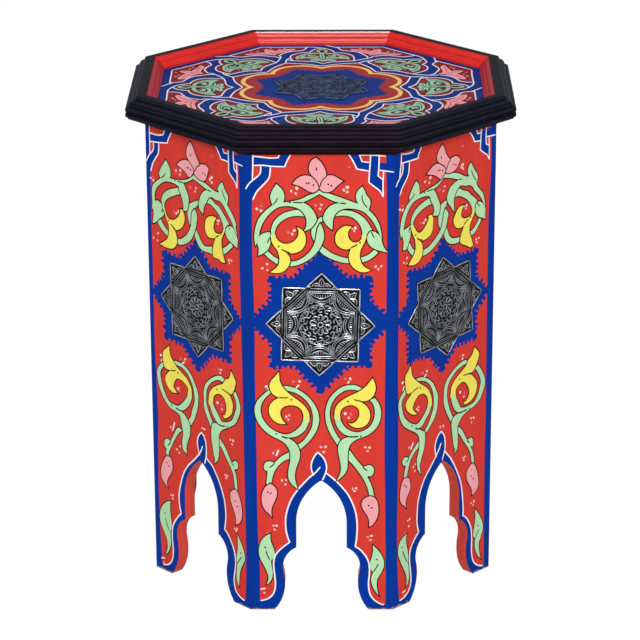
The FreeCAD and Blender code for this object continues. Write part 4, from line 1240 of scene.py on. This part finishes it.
PALMETTE_INK = (
    (1.0, 3, "0 127, 0 118, 0 109"),
    (0.9, 1, "24.6 109.4, 23.6 115, 19.8 121, 14 126"),
    (0.8, 0, "3 102, 7 103.6, 11 102.4"),
    (0.8, 0, "4.5 108.6, 9 109.4, 13 108.9"),
)
PALMETTE_EYE = (
    "0 142.5, 2.6 138.5, 2.2 134, 0 130.8, -2.2 134, -2.6 138.5"
)

# The pink leaf in each corner of the field, across and out along the line to that corner, its veins and
# the dots beside it
CORNER_LEAF = (
    ("petal", 0,
     "0.5 131!, 3.5 135.5, 7.5 137.5, 13 139.2, 19.5 139.6, 25 141.3, 29 144.8, 28.5 147.8, 24 149.3, "
     "18 150.2, 11.5 150, 7 148.3!, 5.6 151, 4.8 154, 0.8 159.6!, -3.6 155.2, -4.6 151, -4 147.2!, "
     "-9 148.2, -16.5 148.6, -22 149.4, -28.5 151!, -26.8 146, -23 142.9, -16 140.8, -9.5 139.3, -4.5 137, "
     "-1.5 134.5", False),
)
CORNER_VEINS = (
    "0.3 135, 1.2 141, 0.4 148, 0.6 155",
    "2.5 140, 9 143.4, 17 145.4, 24 146.2",
    "-2 140, -9 143.6, -17 145.6, -24 147.6",
)
CORNER_DOTS = (
    (20, 153.6, 1.7),
    (13.5, 153.4, 1.3),
    (-11.5, 153.2, 1.5),
    (-18.5, 153.4, 1.2),
    (6.5, 160, 1.1),
)
VEIN_WIDTH = 0.8

# The yellow ring of eight arcs: the arcs' centres and, inside each other, the paints, radii and heights
ARC_CENTRE = 54.9
RING_DISCS = (
    ("brown", 32.6, 0.09),
    ("cream_ring", 31.8, 0.11),
    ("brown", 27.4, 0.13),
    ("centre_red", 26.6, 0.15),
)
ARC_PARTS = 14
FIELD_STAR_TIP = 71.0
FIELD_STAR_NOTCH = 57.0
FIELD_STAR_RISE = 0.17
FIELD_TEETH = 0.8

# White lines: their widths, how many layers they take turns on, and how far the red runs out to the corners
FIELD_LINE = 1.4
KNOT_LINE = 1.5
LINE_LAYERS = 20
SIDE_LAYERS = 5
FIELD_EDGE = 155.5
EYE_LEVEL = 3

# The sway's waves, two across and two out: their size, and millimetres a radian
SWAY_SIZES = (0.7, 0.5, 0.7, 0.4)
SWAY_WAVES = (17, 7, 15, 6)


def turned(places, turn):
    """Places in a direction's own frame, across and out, as places on the field."""
    sine, cosine = math.sin(turn), math.cos(turn)
    return [(a * cosine + r * sine, a * sine - r * cosine) for a, r in places]


def both_sides(places):
    """A half outline from one end of the middle line to the other, with its mirror image."""
    return places + [(-a, r) for a, r in places[-2:0:-1]]


def arc_disc(radius):
    """Eight arcs of a radius, joined where they meet on the middle lines of the sides."""
    half = STEP / 2
    reach = ARC_CENTRE * math.cos(half) + math.sqrt(radius ** 2 - (ARC_CENTRE * math.sin(half)) ** 2)
    end = math.atan2(reach * math.sin(half), reach * math.cos(half) - ARC_CENTRE)
    places = []
    for lobe in range(SIDES):
        arc = []
        for part in range(ARC_PARTS):
            angle = end * (2 * part / ARC_PARTS - 1)
            arc.append((radius * math.sin(angle), ARC_CENTRE + radius * math.cos(angle)))
        places += turned(arc, (lobe + 0.5) * STEP)
    return places


def sway(side):
    """A small seeded drift of one side's share of the field."""
    turns = four_turns(SWAY_SEED + side)

    def moved(across, out):
        along = (out, out, across, across)
        waves = [size * math.sin(place / wave + turn)
                 for size, wave, place, turn in zip(SWAY_SIZES, SWAY_WAVES, along, turns)]
        return across + waves[0] + waves[1], out + waves[2] + waves[3]

    return moved


def open_curve(text):
    """The curve through the places of a text, from its first to its last."""
    return smooth(read_path(text), False)


def paint_leaves(coats, shapes, turn, moved):
    """Outlined leaves in one direction's frame."""
    placed = 0
    for colour, level, text, twin in shapes:
        outline = smooth(read_path(text))
        for sign in (1, -1) if twin else (1,):
            places = turned([moved(sign * a, r) for a, r in outline], turn)
            inked_shape(coats, colour, places, level, placed, field_spot)
            placed += 1


def paint_palmette(coats, turn, moved):
    """The pale leaves inside a medallion, the ink strokes on them and the eye at their tip."""
    paint_leaves(coats, PALMETTE, turn, moved)
    for width, level, text in PALMETTE_INK:
        for sign in (1, -1):
            stroke = turned([moved(sign * a, r) for a, r in open_curve(text)], turn)
            ribbon(coats["ink"], stroke, width, detail_top(level), field_spot, STROKE_TAPER)
    eye = turned([moved(a, r) for a, r in smooth(read_path(PALMETTE_EYE))], turn)
    slab(coats["ink"], eye, detail_top(EYE_LEVEL), field_spot)


def paint_corner(coats, side):
    """The pink leaf in the corner after a side, its veins and its dots."""
    turn = (side + 0.5) * STEP
    chance = random.Random(CORNER_SEED + side)
    flip = 1 if side % 2 else -1
    moved = sway(side + SIDES)
    paint_leaves(coats, CORNER_LEAF, turn, lambda a, r: moved(flip * a, r))
    for text in CORNER_VEINS:
        line = turned([moved(flip * a, r) for a, r in open_curve(text)], turn)
        ribbon(coats["maroon"], line, VEIN_WIDTH, detail_top(0), field_spot, STROKE_TAPER)
    for across, out, radius in CORNER_DOTS:
        (x, y), = turned([moved(flip * across, out)], turn)
        dot(coats["petal"], x, y, radius, WHITE_LINE, field_spot, chance)


def paint_medallion(coats, turn, moved):
    """The red ground of a medallion and the white line round it."""
    medallion = turned([moved(a, r) for a, r in both_sides(open_curve(MEDALLION))], turn)
    slab(coats["maroon"], medallion, RED_GROUND, field_spot)
    ribbon(coats["white"], medallion + medallion[:1], FIELD_LINE, WHITE_LINE, field_spot)


def paint_knot(coats, side):
    """The white lines round a side's medallion and along its border, which weave with its neighbours'."""
    turn = side * STEP
    placed = SIDE_LAYERS * (side % 2) + 1
    lines = [(KNOT_LINE, [(sign * a, r) for a, r in open_curve(text)])
             for sign in (1, -1) for text in (OUTER_LINE, FOIL_LINE)]
    lines += [(FIELD_LINE, open_curve(text)) for text in (BORDER_OVER, BORDER_TIP, BORDER_SHORT, *KNOT_LINES)]
    for width, line in lines:
        ribbon(coats["white"], turned(line, turn), width, WHITE_LINE + layer(placed, LINE_LAYERS), field_spot)
        placed += 1


def paint_field_side(coats, side):
    """One side's medallion, the lines round it, and the corner after it."""
    turn = side * STEP
    moved = sway(side)
    paint_medallion(coats, turn, moved)
    paint_knot(coats, side)
    paint_palmette(coats, turn, moved)
    outer = open_curve(OUTER_LINE)
    far = [(CORNER_U / APOTHEM * FIELD_EDGE, FIELD_EDGE)]
    patch = turned(outer[::-1] + far, turn) + turned([(-a, r) for a, r in outer], turn + STEP)
    slab(coats["maroon"], patch, RED_GROUND, field_spot)
    paint_corner(coats, side)


def paint_centre(coats):
    """The red ground round the middle, the yellow ring on it and the blue star in that."""
    half = open_curve(FOIL_LINE)
    ground = []
    star = []
    for side in range(SIDES):
        ground += turned([(-a, r) for a, r in half[:0:-1]] + half[:-1], side * STEP)
        star += turned([(0, FIELD_STAR_NOTCH)], side * STEP)
        star += turned([(0, FIELD_STAR_TIP)], (side + 0.5) * STEP)
    slab(coats["maroon"], ground, RED_GROUND, field_spot)
    for colour, radius, proud in RING_DISCS:
        slab(coats[colour], arc_disc(radius), proud, field_spot)
    slab(coats["blue"], star, FIELD_STAR_RISE, field_spot)
    chance = random.Random(FIELD_SEED)
    fringe(coats["blue"], star, chance, field_spot, FIELD_TEETH, FIELD_STAR_RISE - TEETH_UNDER)


FIELD_COLOURS = {
    "maroon": (138, 40, 46),
    "leaf": (160, 198, 172),
    "petal": (242, 158, 166),
    "brown": (150, 72, 34),
    "cream_ring": (246, 200, 130),
    "centre_red": (164, 50, 50),
    "blue": FIELD_BLUE,
}
FIELD_LINE_COLOURS = {"white": WHITE, "ink": INK}


def paint_field():
    """The painting of the top board, one piece to a paint."""
    coats = {name: Coat() for name in (*FIELD_COLOURS, *FIELD_LINE_COLOURS)}
    paint_centre(coats)
    for side in range(SIDES):
        paint_field_side(coats, side)
    for name, rgb in FIELD_COLOURS.items():
        material = paint(f"top_{name}_paint", rgb, streak=EVEN, specular=FIELD_GLOSS)
        add_piece(f"top_{name}", coats[name], material)
    for name, rgb in FIELD_LINE_COLOURS.items():
        material = line_paint(f"top_{name}_paint", rgb, FIELD_GLOSS)
        add_piece(f"top_{name}", coats[name], material)


paint_field()


# The stamped stars' relief, in millimetres from the star's middle: across and out in a direction's own frame
RELIEF_BASE = -0.1
BAND_RADII = (37.7, 35.0)
BAND_MARGIN = 1.0
STRAP_REACH = 16.2
LUNETTE_CENTRE = 36.7
LUNETTE_CHORD = 33.2
LUNETTE_RADII = (14.3, 12.3)
# Radius, width and height
RINGS = ((21.2, 0.8, 0.5), (2.5, 1.3, 0.5))
# How often it goes round, width, height, line, and whether it has a twin across the middle line
STAMPED_LINES = (
    (8, 1.0, 0.50, "-9.8 31.9, -5.5 29.2, 0 27.4, 5.5 29.2, 9.8 31.9", False),
    (8, 1.0, 0.60, "0.5 28, 1.2 31.6", False),
    (8, 1.1, 0.60, "2.8 28.6, 3.7 31.6", False),
    (8, 1.0, 0.55, "5.1 29.6, 6.2 31.7", False),
    (8, 1.1, 0.60, "-1.9 28.2, -1.2 31.6", False),
    (8, 1.1, 0.60, "-4.2 28.9, -3.6 31.6", False),
    (8, 1.0, 0.55, "-6.6 29.9, -6.1 31.7", False),
    (8, 1.1, 0.60, "0 39.7, 2.1 41.8, 2.4 44.6, 0 49.0", True),
    (8, 0.7, 0.35, "0 41.3, 0 45.5", False),
    (8, 1.2, 0.60, "1.6 39.6, 4.2 43.2, 6.9 42.6, 9.4 39.8", True),
    (8, 1.0, 0.50, "3.2 39.5, 5.0 41.0, 6.8 39.8", True),
    (8, 0.8, 0.40, "11.0 39.3, 12.4 39.6, 13.6 38.9", True),
    (14, 1.25, 0.75,
     "-1.4 13.9, 1.0 13.3, 2.5 14.5, 1.9 16.2, 0 16.8, -2.0 17.5, -2.5 18.9, -1.0 19.9, 0.9 19.4, "
     "0.8 18.4", False),
    (14, 0.9, 0.45, "3.2 15.4, 4.3 17.2, 3.9 19.3, 2.6 20.2", False),
    (10, 1.3, 0.80, "-0.4 4.2, -1.4 6.0, -2.0 8.2, -1.2 10.0, 0.6 10.6, 2.1 9.7, 1.9 8.1, 0.7 7.9", False),
    (10, 0.8, 0.45, "1.1 5.0, 1.2 6.6", False),
)
# Lines between the lunettes, in the frames half-way between theirs
FILLER_LINES = (
    (8, 0.9, 0.45, "0 23.6, 2.0 26.3, 3.2 29.2", True),
    (8, 0.8, 0.40, "0 26.2, 1.0 28.6, 1.2 31.4, 0 34.6", True),
)
BEAD_SECTION = ((-0.5, 0.0), (-0.3, 0.75), (0.0, 1.0), (0.3, 0.75), (0.5, 0.0))
BEAD_TAPER = 0.45

# Widths and heights of the borders' beads, the lunettes', their chords' and the edge's
BAND_BEAD = (0.85, 0.6)
LUNETTE_BEAD = (0.95, 0.6)
CHORD_BEAD = (0.8, 0.5)
EDGE_BEAD = (1.4, 0.5)
CHORD_PLACES = (-13.5, -6.5, 0, 6.5, 13.5)
STRAP_SPARE = 0.5
EDGE_INSET = 0.9
STAMP_SHIFT = 0.12

# How many parts each of these lines is drawn in
BAND_PARTS = 6
LUNETTE_PARTS = 9
RING_PARTS = 48
EDGE_PARTS = 4

# Each metal's colour, roughness, metallic share, how dark its dull patches are, and its specular level
METALS = {
    "plaque_bright": ((186, 188, 194), 0.3, 0.85, 0.4, 0.5),
    # The edge metals are paler than their relief's: a painted highlight along the stars' raised edges
    "plaque_edge_highlight": ((232, 234, 238), 0.25, 0.85, 0.75, 0.5),
    # The next two are darker copies of the two above, a painted shade for the stars on every side but the
    # front
    "plaque_shaded": ((138, 140, 146), 0.34, 0.85, 0.4, 0.5),
    "plaque_shaded_edge_highlight": ((158, 160, 166), 0.3, 0.85, 0.7, 0.5),
    "top_plaque_bright": ((66, 80, 106), 0.45, 0.3, 0.5, 0.03),
    # The top star's edge is likewise paler than its relief: painted highlight
    "top_plaque_edge_highlight": ((96, 112, 140), 0.4, 0.3, 0.8, 0.03),
    "plaque_plate": ((22, 22, 25), 0.55, 0.0, 0.6, 0.06),
    "top_plate": ((20, 28, 48), 0.5, 0.0, 0.6, 0.01),
    "nail_steel": ((120, 122, 126), 0.4, 0.8, 0.7, 0.5),
}
METAL_CLOUDS = 130
METAL_STOPS = (0.35, 0.62)
METAL_PALE = 1.1


def bead(coat, curve, width, height, spot):
    """A rounded raised line of metal, closed below, that thins out at its ends."""
    first = len(coat.points)
    count = len(curve)
    sides = len(BEAD_SECTION)
    base = PLAQUE_THICKNESS + RELIEF_BASE
    for index, (x, y) in enumerate(curve):
        size = BEAD_TAPER if index in (0, count - 1) else 1.0
        sx, sy = beside(curve, index, width)
        for across, up in BEAD_SECTION:
            place = (x - sx * size * across, y - sy * size * across)
            coat.points.append(spot(*place, base + height * size * up))
    for index in range(count - 1):
        here = first + sides * index
        for step in range(sides):
            after = (step + 1) % sides
            coat.faces.append((here + step, here + after, here + sides + after, here + sides + step))
    end = first + sides * (count - 1)
    coat.faces.append(tuple(range(first + sides - 1, first - 1, -1)))
    coat.faces.append(tuple(range(end, end + sides)))


def star_spot(spot, middle, degrees):
    """A star's own places, turned as it was nailed on, as places on what carries it."""
    turn = math.radians(degrees)

    def placed(x, y, proud):
        return spot(middle[0] + x * math.cos(turn) - y * math.sin(turn),
                    middle[1] + x * math.sin(turn) + y * math.cos(turn), proud)

    return placed


def between(start, end, parts):
    """Places from one to another, in equal parts."""
    return [(start[0] + (end[0] - start[0]) * part / parts, start[1] + (end[1] - start[1]) * part / parts)
            for part in range(parts + 1)]


def round_line(radius):
    """A whole circle, with its first place again at its end."""
    turns = [2 * math.pi * part / RING_PARTS for part in range(RING_PARTS + 1)]
    return [(radius * math.cos(turn), radius * math.sin(turn)) for turn in turns]


def shifted(places, chance):
    """Places moved by a hair each, as in a die cut by hand."""
    return [(x + chance.uniform(-STAMP_SHIFT, STAMP_SHIFT), y + chance.uniform(-STAMP_SHIFT, STAMP_SHIFT))
            for x, y in places]


def stamp_bands(coat, turn, spot, chance):
    """The two border lines of one direction, with gaps where those of the other square pass over them."""
    root = math.sqrt(2)
    outer, inner = BAND_RADII
    for radius in BAND_RADII:
        gap = (inner * root - radius - BAND_MARGIN, outer * root - radius + BAND_MARGIN)
        reach = radius if radius == outer else STRAP_REACH
        for start, end in ((-reach, gap[0]), (min(gap[1], reach - STRAP_SPARE), reach)):
            line = between((start, radius), (end, radius), BAND_PARTS)
            bead(coat, turned(shifted(line, chance), turn), *BAND_BEAD, spot)


def stamp_lunette(coat, turn, spot, chance):
    """The arcs of one direction's lunette and the chord below them."""
    for radius in LUNETTE_RADII:
        reach = math.acos((LUNETTE_CENTRE - LUNETTE_CHORD) / radius)
        turns = [reach * part / LUNETTE_PARTS for part in range(-LUNETTE_PARTS, LUNETTE_PARTS + 1)]
        arc = [(radius * math.sin(bent), LUNETTE_CENTRE - radius * math.cos(bent)) for bent in turns]
        bead(coat, turned(shifted(arc, chance), turn), *LUNETTE_BEAD, spot)
    chord = [(across, LUNETTE_CHORD) for across in CHORD_PLACES]
    bead(coat, turned(shifted(chord, chance), turn), *CHORD_BEAD, spot)


def stamp_lines(coat, lines, shift, spot, chance):
    """Short stamped lines, each repeated round the star."""
    for times, width, height, text, twin in lines:
        line = open_curve(text)
        for part in range(times):
            turn = shift + 2 * math.pi * part / times
            for sign in (1, -1) if twin else (1,):
                places = turned([(sign * a, r) for a, r in line], turn)
                bead(coat, shifted(places, chance), width, height, spot)


def star_places(radius):
    """The sixteen corners of two crossed squares, from a tip on."""
    notch = radius * math.cos(STEP) / math.cos(STEP / 2)
    places = []
    for index in range(2 * SIDES):
        far = notch if index % 2 else radius
        places.append((far * math.sin(index * STEP / 2), -far * math.cos(index * STEP / 2)))
    return places


def stamp_star(names, metals, spot, chance):
    """One star's relief and its edge: borders that weave, lunettes, scrolls, petals and buds."""
    lines, edge = Coat(), Coat()
    for side in range(SIDES):
        stamp_bands(lines, side * STEP, spot, chance)
        stamp_lunette(lines, side * STEP, spot, chance)
    for radius, width, height in RINGS:
        bead(lines, shifted(round_line(radius), chance), width, height, spot)
    stamp_lines(lines, STAMPED_LINES, 0, spot, chance)
    stamp_lines(lines, FILLER_LINES, STEP / 2, spot, chance)
    tips = star_places(PLAQUE_RADIUS - EDGE_INSET)
    for start, end in zip(tips, tips[1:] + tips[:1]):
        bead(edge, between(start, end, EDGE_PARTS), *EDGE_BEAD, spot)
    # The edge bead takes the paler metal, a painted highlight
    for name, coat, metal in zip(names, (lines, edge), metals):
        add_piece(name, coat, metal)


def metal_material(name):
    """Stamped white metal, gone dull and dark in cloudy patches."""
    rgb, rough, metallic, dull, specular = METALS[name]
    material, tree = new_material(name, rough, specular)
    shader_of(tree).inputs["Metallic"].default_value = metallic
    clouds = noise(tree, METAL_CLOUDS)
    colours = (tinted(rgb, dull), tinted(rgb, METAL_PALE))
    colour_from(tree, ramp(tree, clouds, METAL_STOPS, colours))
    bump(tree, noise(tree, 2500), strength=0.2, depth=0.0001)
    return material


def stamp_stars():
    """The relief on the nine stars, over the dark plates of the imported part."""
    bright = metal_material("plaque_bright"), metal_material("plaque_edge_highlight")
    # The stars on every side but the front get the darker metal copies: painted shade
    dull = metal_material("plaque_shaded"), metal_material("plaque_shaded_edge_highlight")
    for side in range(SIDES):
        spot = star_spot(panel_spot(side), (0, PLAQUE_Z), PLAQUE_TURNS[side])
        names = (f"star_relief_{side + 1}", f"star_edge_{side + 1}")
        stamp_star(names, dull if side else bright, spot, random.Random(STAR_SEED + side))
    share = TOP_PLAQUE_RADIUS / PLAQUE_RADIUS
    placed = star_spot(field_spot, (0, 0), TOP_PLAQUE_TURN)

    def top_spot(x, y, proud):
        return placed(x * share, y * share, proud)

    metals = metal_material("top_plaque_bright"), metal_material("top_plaque_edge_highlight")
    stamp_star(("top_star_relief", "top_star_edge"), metals, top_spot, random.Random(TOP_STAR_SEED))


stamp_stars()


# The black rim's section, in millimetres out from the panels' faces and up from the rim's underside, from the
# crest's inner edge to the foot: a place, how far the line to it bulges, and how many fine reeds are on it
RIM_LINES = (
    ((5.7, 22.9), 0.0, 1),
    ((6.24, 22.6), 0.1, 1),
    ((9.4, 20.1), 0.9, 1),
    ((9.4, 19.0), 0.0, 1),
    ((9.9, 19.0), 0.0, 1),
    ((15.2, 13.9), 1.25, 3),
    ((15.2, 12.6), 0.0, 1),
    ((16.8, 12.6), 0.0, 1),
    ((16.8, 7.0), 2.6, 2),
    ((16.8, 1.4), 2.65, 2),
    ((16.2, 0.0), 0.0, 1),
)

# The black also covers the flat crest of the red moulding: how far in, how thick, and how far down it starts
CREST_LAP = 1.9
CREST_LIFT = 0.02
CREST_DROP = 0.3
BULGE_PARTS = 6
REED_DEPTH = 0.5
RIM_STEPS = 8
RIM_WAVER = 0.08

# The rim's back and underside, this near in millimetres, lie true
RIM_TRUE = 1

# Fine reeds in the paint, painted paler in bands as a sheen on their crests: how close they lie, how much
# they wander, and where the paint is worn thin
REED_BANDS = 92.0
REED_WANDER = 1.2
WORN_SCALE = 90
SHEEN_AND_WEAR_STOPS = (0.05, 0.5)
BLACK_SCALE = 700


def bulged(start, end, bulge, reeds):
    """Places from one corner of a section to the next, bowed out, with fine reeds over the bow."""
    if bulge == 0 and reeds == 1:
        return [end]
    parts = BULGE_PARTS * reeds
    length = math.hypot(end[0] - start[0], end[1] - start[1])
    nx, ny = -(end[1] - start[1]) / length, (end[0] - start[0]) / length
    places = []
    for part in range(1, parts + 1):
        share = part / parts
        out = 4 * bulge * share * (1 - share)
        if reeds > 1:
            furrow = 1 - abs(math.sin(math.pi * reeds * share))
            out -= REED_DEPTH * furrow * math.sin(math.pi * share) ** 0.5
        places.append((start[0] + (end[0] - start[0]) * share + nx * out,
                       start[1] + (end[1] - start[1]) * share + ny * out))
    return places


def rim_section():
    """The rim's section with the black over the crest, all the way round."""
    section = [(-CREST_LAP, RIM_HEIGHT + CREST_LIFT), (0.0, RIM_HEIGHT + CREST_LIFT)]
    for end, bulge, reeds in RIM_LINES:
        section += bulged(section[-1], end, bulge, reeds)
    return section + [(0.0, 0.0), (0.0, RIM_HEIGHT - CREST_DROP), (-CREST_LAP, RIM_HEIGHT - CREST_DROP)]


def rim_strip(side, section):
    """A mitred strip of the rim on one side, very slightly uneven along its length."""
    coat = Coat()
    chance = random.Random(RIM_SEED + side)
    spot = panel_spot(side)
    count = len(section)
    drifts = [chance.uniform(-RIM_WAVER, RIM_WAVER) for _ in range(RIM_STEPS + 1)]
    drifts[0] = drifts[-1] = 0.0
    for step in range(RIM_STEPS + 1):
        for out, up in section:
            across = (APOTHEM + out) * math.tan(STEP / 2) * (2 * step / RIM_STEPS - 1)
            inward = min(0.0, drifts[step]) if min(out, up) > RIM_TRUE else 0.0
            coat.points.append(spot(across, RIM_BOTTOM + up, out + inward))
    for step in range(RIM_STEPS):
        for index in range(count):
            after = (index + 1) % count
            here, there = step * count, (step + 1) * count
            coat.faces.append((here + index, here + after, there + after, there + index))
    for first, turn_round in ((0, False), (RIM_STEPS * count, True)):
        for face in tessellate_polygon([[Vector((out, up, 0)) for out, up in section]]):
            coat.faces.append(tuple(first + index for index in (face[::-1] if turn_round else face)))
    return coat


def black_material(name, deep, worn):
    """Black gloss paint over reeded wood, a little paler in bands along the reeds as a painted sheen, and
    where it is thin.
    """
    material, tree = new_material(name, PAINT_ROUGH, BLACK_GLOSS)
    place = tree.nodes.new("ShaderNodeTexCoord")
    reeds = tree.nodes.new("ShaderNodeTexWave")
    reeds.bands_direction = "Z"
    reeds.inputs["Scale"].default_value = REED_BANDS
    reeds.inputs["Distortion"].default_value = REED_WANDER
    tree.links.new(place.outputs["Object"], reeds.inputs["Vector"])
    # The reed bands are a painted sheen on the reeds' crests; the noise is where the paint is worn thin
    reed_sheen_and_wear = math_node(tree, "MULTIPLY", reeds.outputs["Fac"], noise(tree, WORN_SCALE))
    colour_from(tree, ramp(tree, reed_sheen_and_wear, SHEEN_AND_WEAR_STOPS, (linear(deep), linear(worn))))
    bump(tree, noise(tree, BLACK_SCALE), strength=0.25, depth=0.0003)
    return material


def add_rim():
    """The eight strips of the rim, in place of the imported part's own."""
    # The front strip and the other strips get differently tinted copies of the one black paint, as painted
    # light
    front = black_material("front_light_tinted_black", *FRONT_LIGHT_TINTED_BLACKS)
    others = black_material("other_sides_light_tinted_black", *OTHER_LIGHT_TINTED_BLACKS)
    section = rim_section()
    for side in range(SIDES):
        material = others if side else front
        piece = add_piece(f"rim_strip_{side + 1}", rim_strip(side, section), material)
        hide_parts(f"rim_moulding_{side + 1}")


add_rim()


# The red mouldings' paint: darker on the two sides as painted shade, glossier behind, where it is streaked
# across the board
SLOPE_RED = (224, 50, 46)
SIDE_SLOPE_SHADED_RED = (172, 42, 52)
BACK_SLOPE_RED = (222, 52, 48)


def packed_materials():
    """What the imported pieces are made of, by the start of their names; the first that fits counts."""
    slope = paint("slope_paint", SLOPE_RED, rough=0.3, spread=0.08, specular=0.03)
    # The left and right mouldings get a darker copy of the red: painted shade
    side_slope_shaded = paint("side_slope_shaded_paint", SIDE_SLOPE_SHADED_RED, rough=0.3, spread=0.08, specular=0.01)
    back_slope = paint("back_slope_paint", BACK_SLOPE_RED, rough=0.22, spread=0.10,
                       streak=(0.12, 1, 1), specular=0.5)
    wood = wood_material()
    top_plate = metal_material("top_plate")
    return (
        ("side_panel", panel_material()),
        ("tray_moulding_3", side_slope_shaded),
        ("tray_moulding_7", side_slope_shaded),
        ("tray_moulding_5", back_slope),
        ("tray_moulding", slope),
        ("top_board", board_material()),
        ("top_cleat", wood),
        ("corner_block", wood),
        ("top_star_plaque", top_plate),
        ("top_plaque_pins", top_plate),
        ("star_plaque", metal_material("plaque_plate")),
        ("", metal_material("nail_steel")),
    )


def dress_packed_pieces():
    """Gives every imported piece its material."""
    materials = packed_materials()
    for name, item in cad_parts.items():
        chosen = next(material for start, material in materials if name.startswith(start))
        item.data.materials.clear()
        item.data.materials.append(chosen)


dress_packed_pieces()


# Floor, backdrop and lights. The floor's sides are in metres from its middle, and a seen backdrop is brighter
# than the light it gives
FLOOR_REACH = 20
FLOOR_GREY = (0.9, 0.9, 0.9, 1)
FLOOR_GLOW = 1.09
FLOOR_SHARE = 0.9
BACKDROP_LIGHT = 0.34
BACKDROP_SEEN = 1.0

# Each lamp's place, what it aims at, width and depth in metres, and watts
LAMPS = {
    "front_lamp": ((0.1, -3.1, 1.9), (0, 0, 0.25), (0.7, 0.7), 56),
    "left_lamp": ((-2.6, -0.8, 1.6), (0, 0, 0.3), (1.5, 1.5), 2),
    "right_lamp": ((2.6, -0.8, 1.6), (0, 0, 0.3), (1.5, 1.5), 2),
    "top_lamp": ((0, 1.2, 2.6), (0, 0, 0.5), (1.6, 1.2), 6),
    "shine_lamp": ((0.0, -0.35, 2.0), (0, 0.16, 0.51), (0.5, 0.3), 5),
}


def camera_share(tree, share):
    """How far a ray sees the white backdrop: from the camera, or by way of metal or glass."""
    path = tree.nodes.new("ShaderNodeLightPath")
    seen = math_node(tree, "MAXIMUM", path.outputs["Is Camera Ray"], path.outputs["Is Glossy Ray"])
    seen = math_node(tree, "MAXIMUM", seen, path.outputs["Is Transmission Ray"])
    return math_node(tree, "MULTIPLY", seen, share)


def add_floor():
    """A pale floor that fades into the backdrop."""
    mesh = bpy.data.meshes.new("floor")
    corners = [(x * FLOOR_REACH, y * FLOOR_REACH, 0) for x, y in ((-1, -1), (1, -1), (1, 1), (-1, 1))]
    mesh.from_pydata(corners, [], [(0, 1, 2, 3)])
    floor = add_object("floor", mesh)
    material, tree = new_material("floor", 0.8)
    shader_of(tree).inputs["Base Color"].default_value = FLOOR_GREY
    glow = tree.nodes.new("ShaderNodeEmission")
    glow.inputs["Strength"].default_value = FLOOR_GLOW
    mix = tree.nodes.new("ShaderNodeMixShader")
    tree.links.new(camera_share(tree, FLOOR_SHARE), mix.inputs[0])
    tree.links.new(shader_of(tree).outputs[0], mix.inputs[1])
    tree.links.new(glow.outputs[0], mix.inputs[2])
    tree.links.new(mix.outputs[0], tree.nodes["Material Output"].inputs["Surface"])
    mesh.materials.append(material)


def add_world():
    """The white backdrop and its soft light."""
    world = bpy.data.worlds.new("studio")
    bpy.context.scene.world = world
    world.use_nodes = True
    tree = world.node_tree
    background = tree.nodes["Background"]
    background.inputs["Color"].default_value = (1, 1, 1, 1)
    level = tree.nodes.new("ShaderNodeMapRange")
    level.inputs["To Min"].default_value = BACKDROP_LIGHT
    level.inputs["To Max"].default_value = BACKDROP_SEEN
    tree.links.new(camera_share(tree, 1.0), level.inputs["Value"])
    tree.links.new(level.outputs["Result"], background.inputs["Strength"])


def add_lamp(name, place, target, size, power):
    """A rectangular lamp that is aimed at a place."""
    data = bpy.data.lights.new(name, "AREA")
    data.shape = "RECTANGLE"
    data.size, data.size_y = size
    data.energy = power
    lamp = add_object(name, data)
    lamp.location = place
    lamp.rotation_euler = (Vector(target) - Vector(place)).to_track_quat("-Z", "Y").to_euler()


add_floor()
add_world()
for name, settings in LAMPS.items():
    add_lamp(name, *settings)
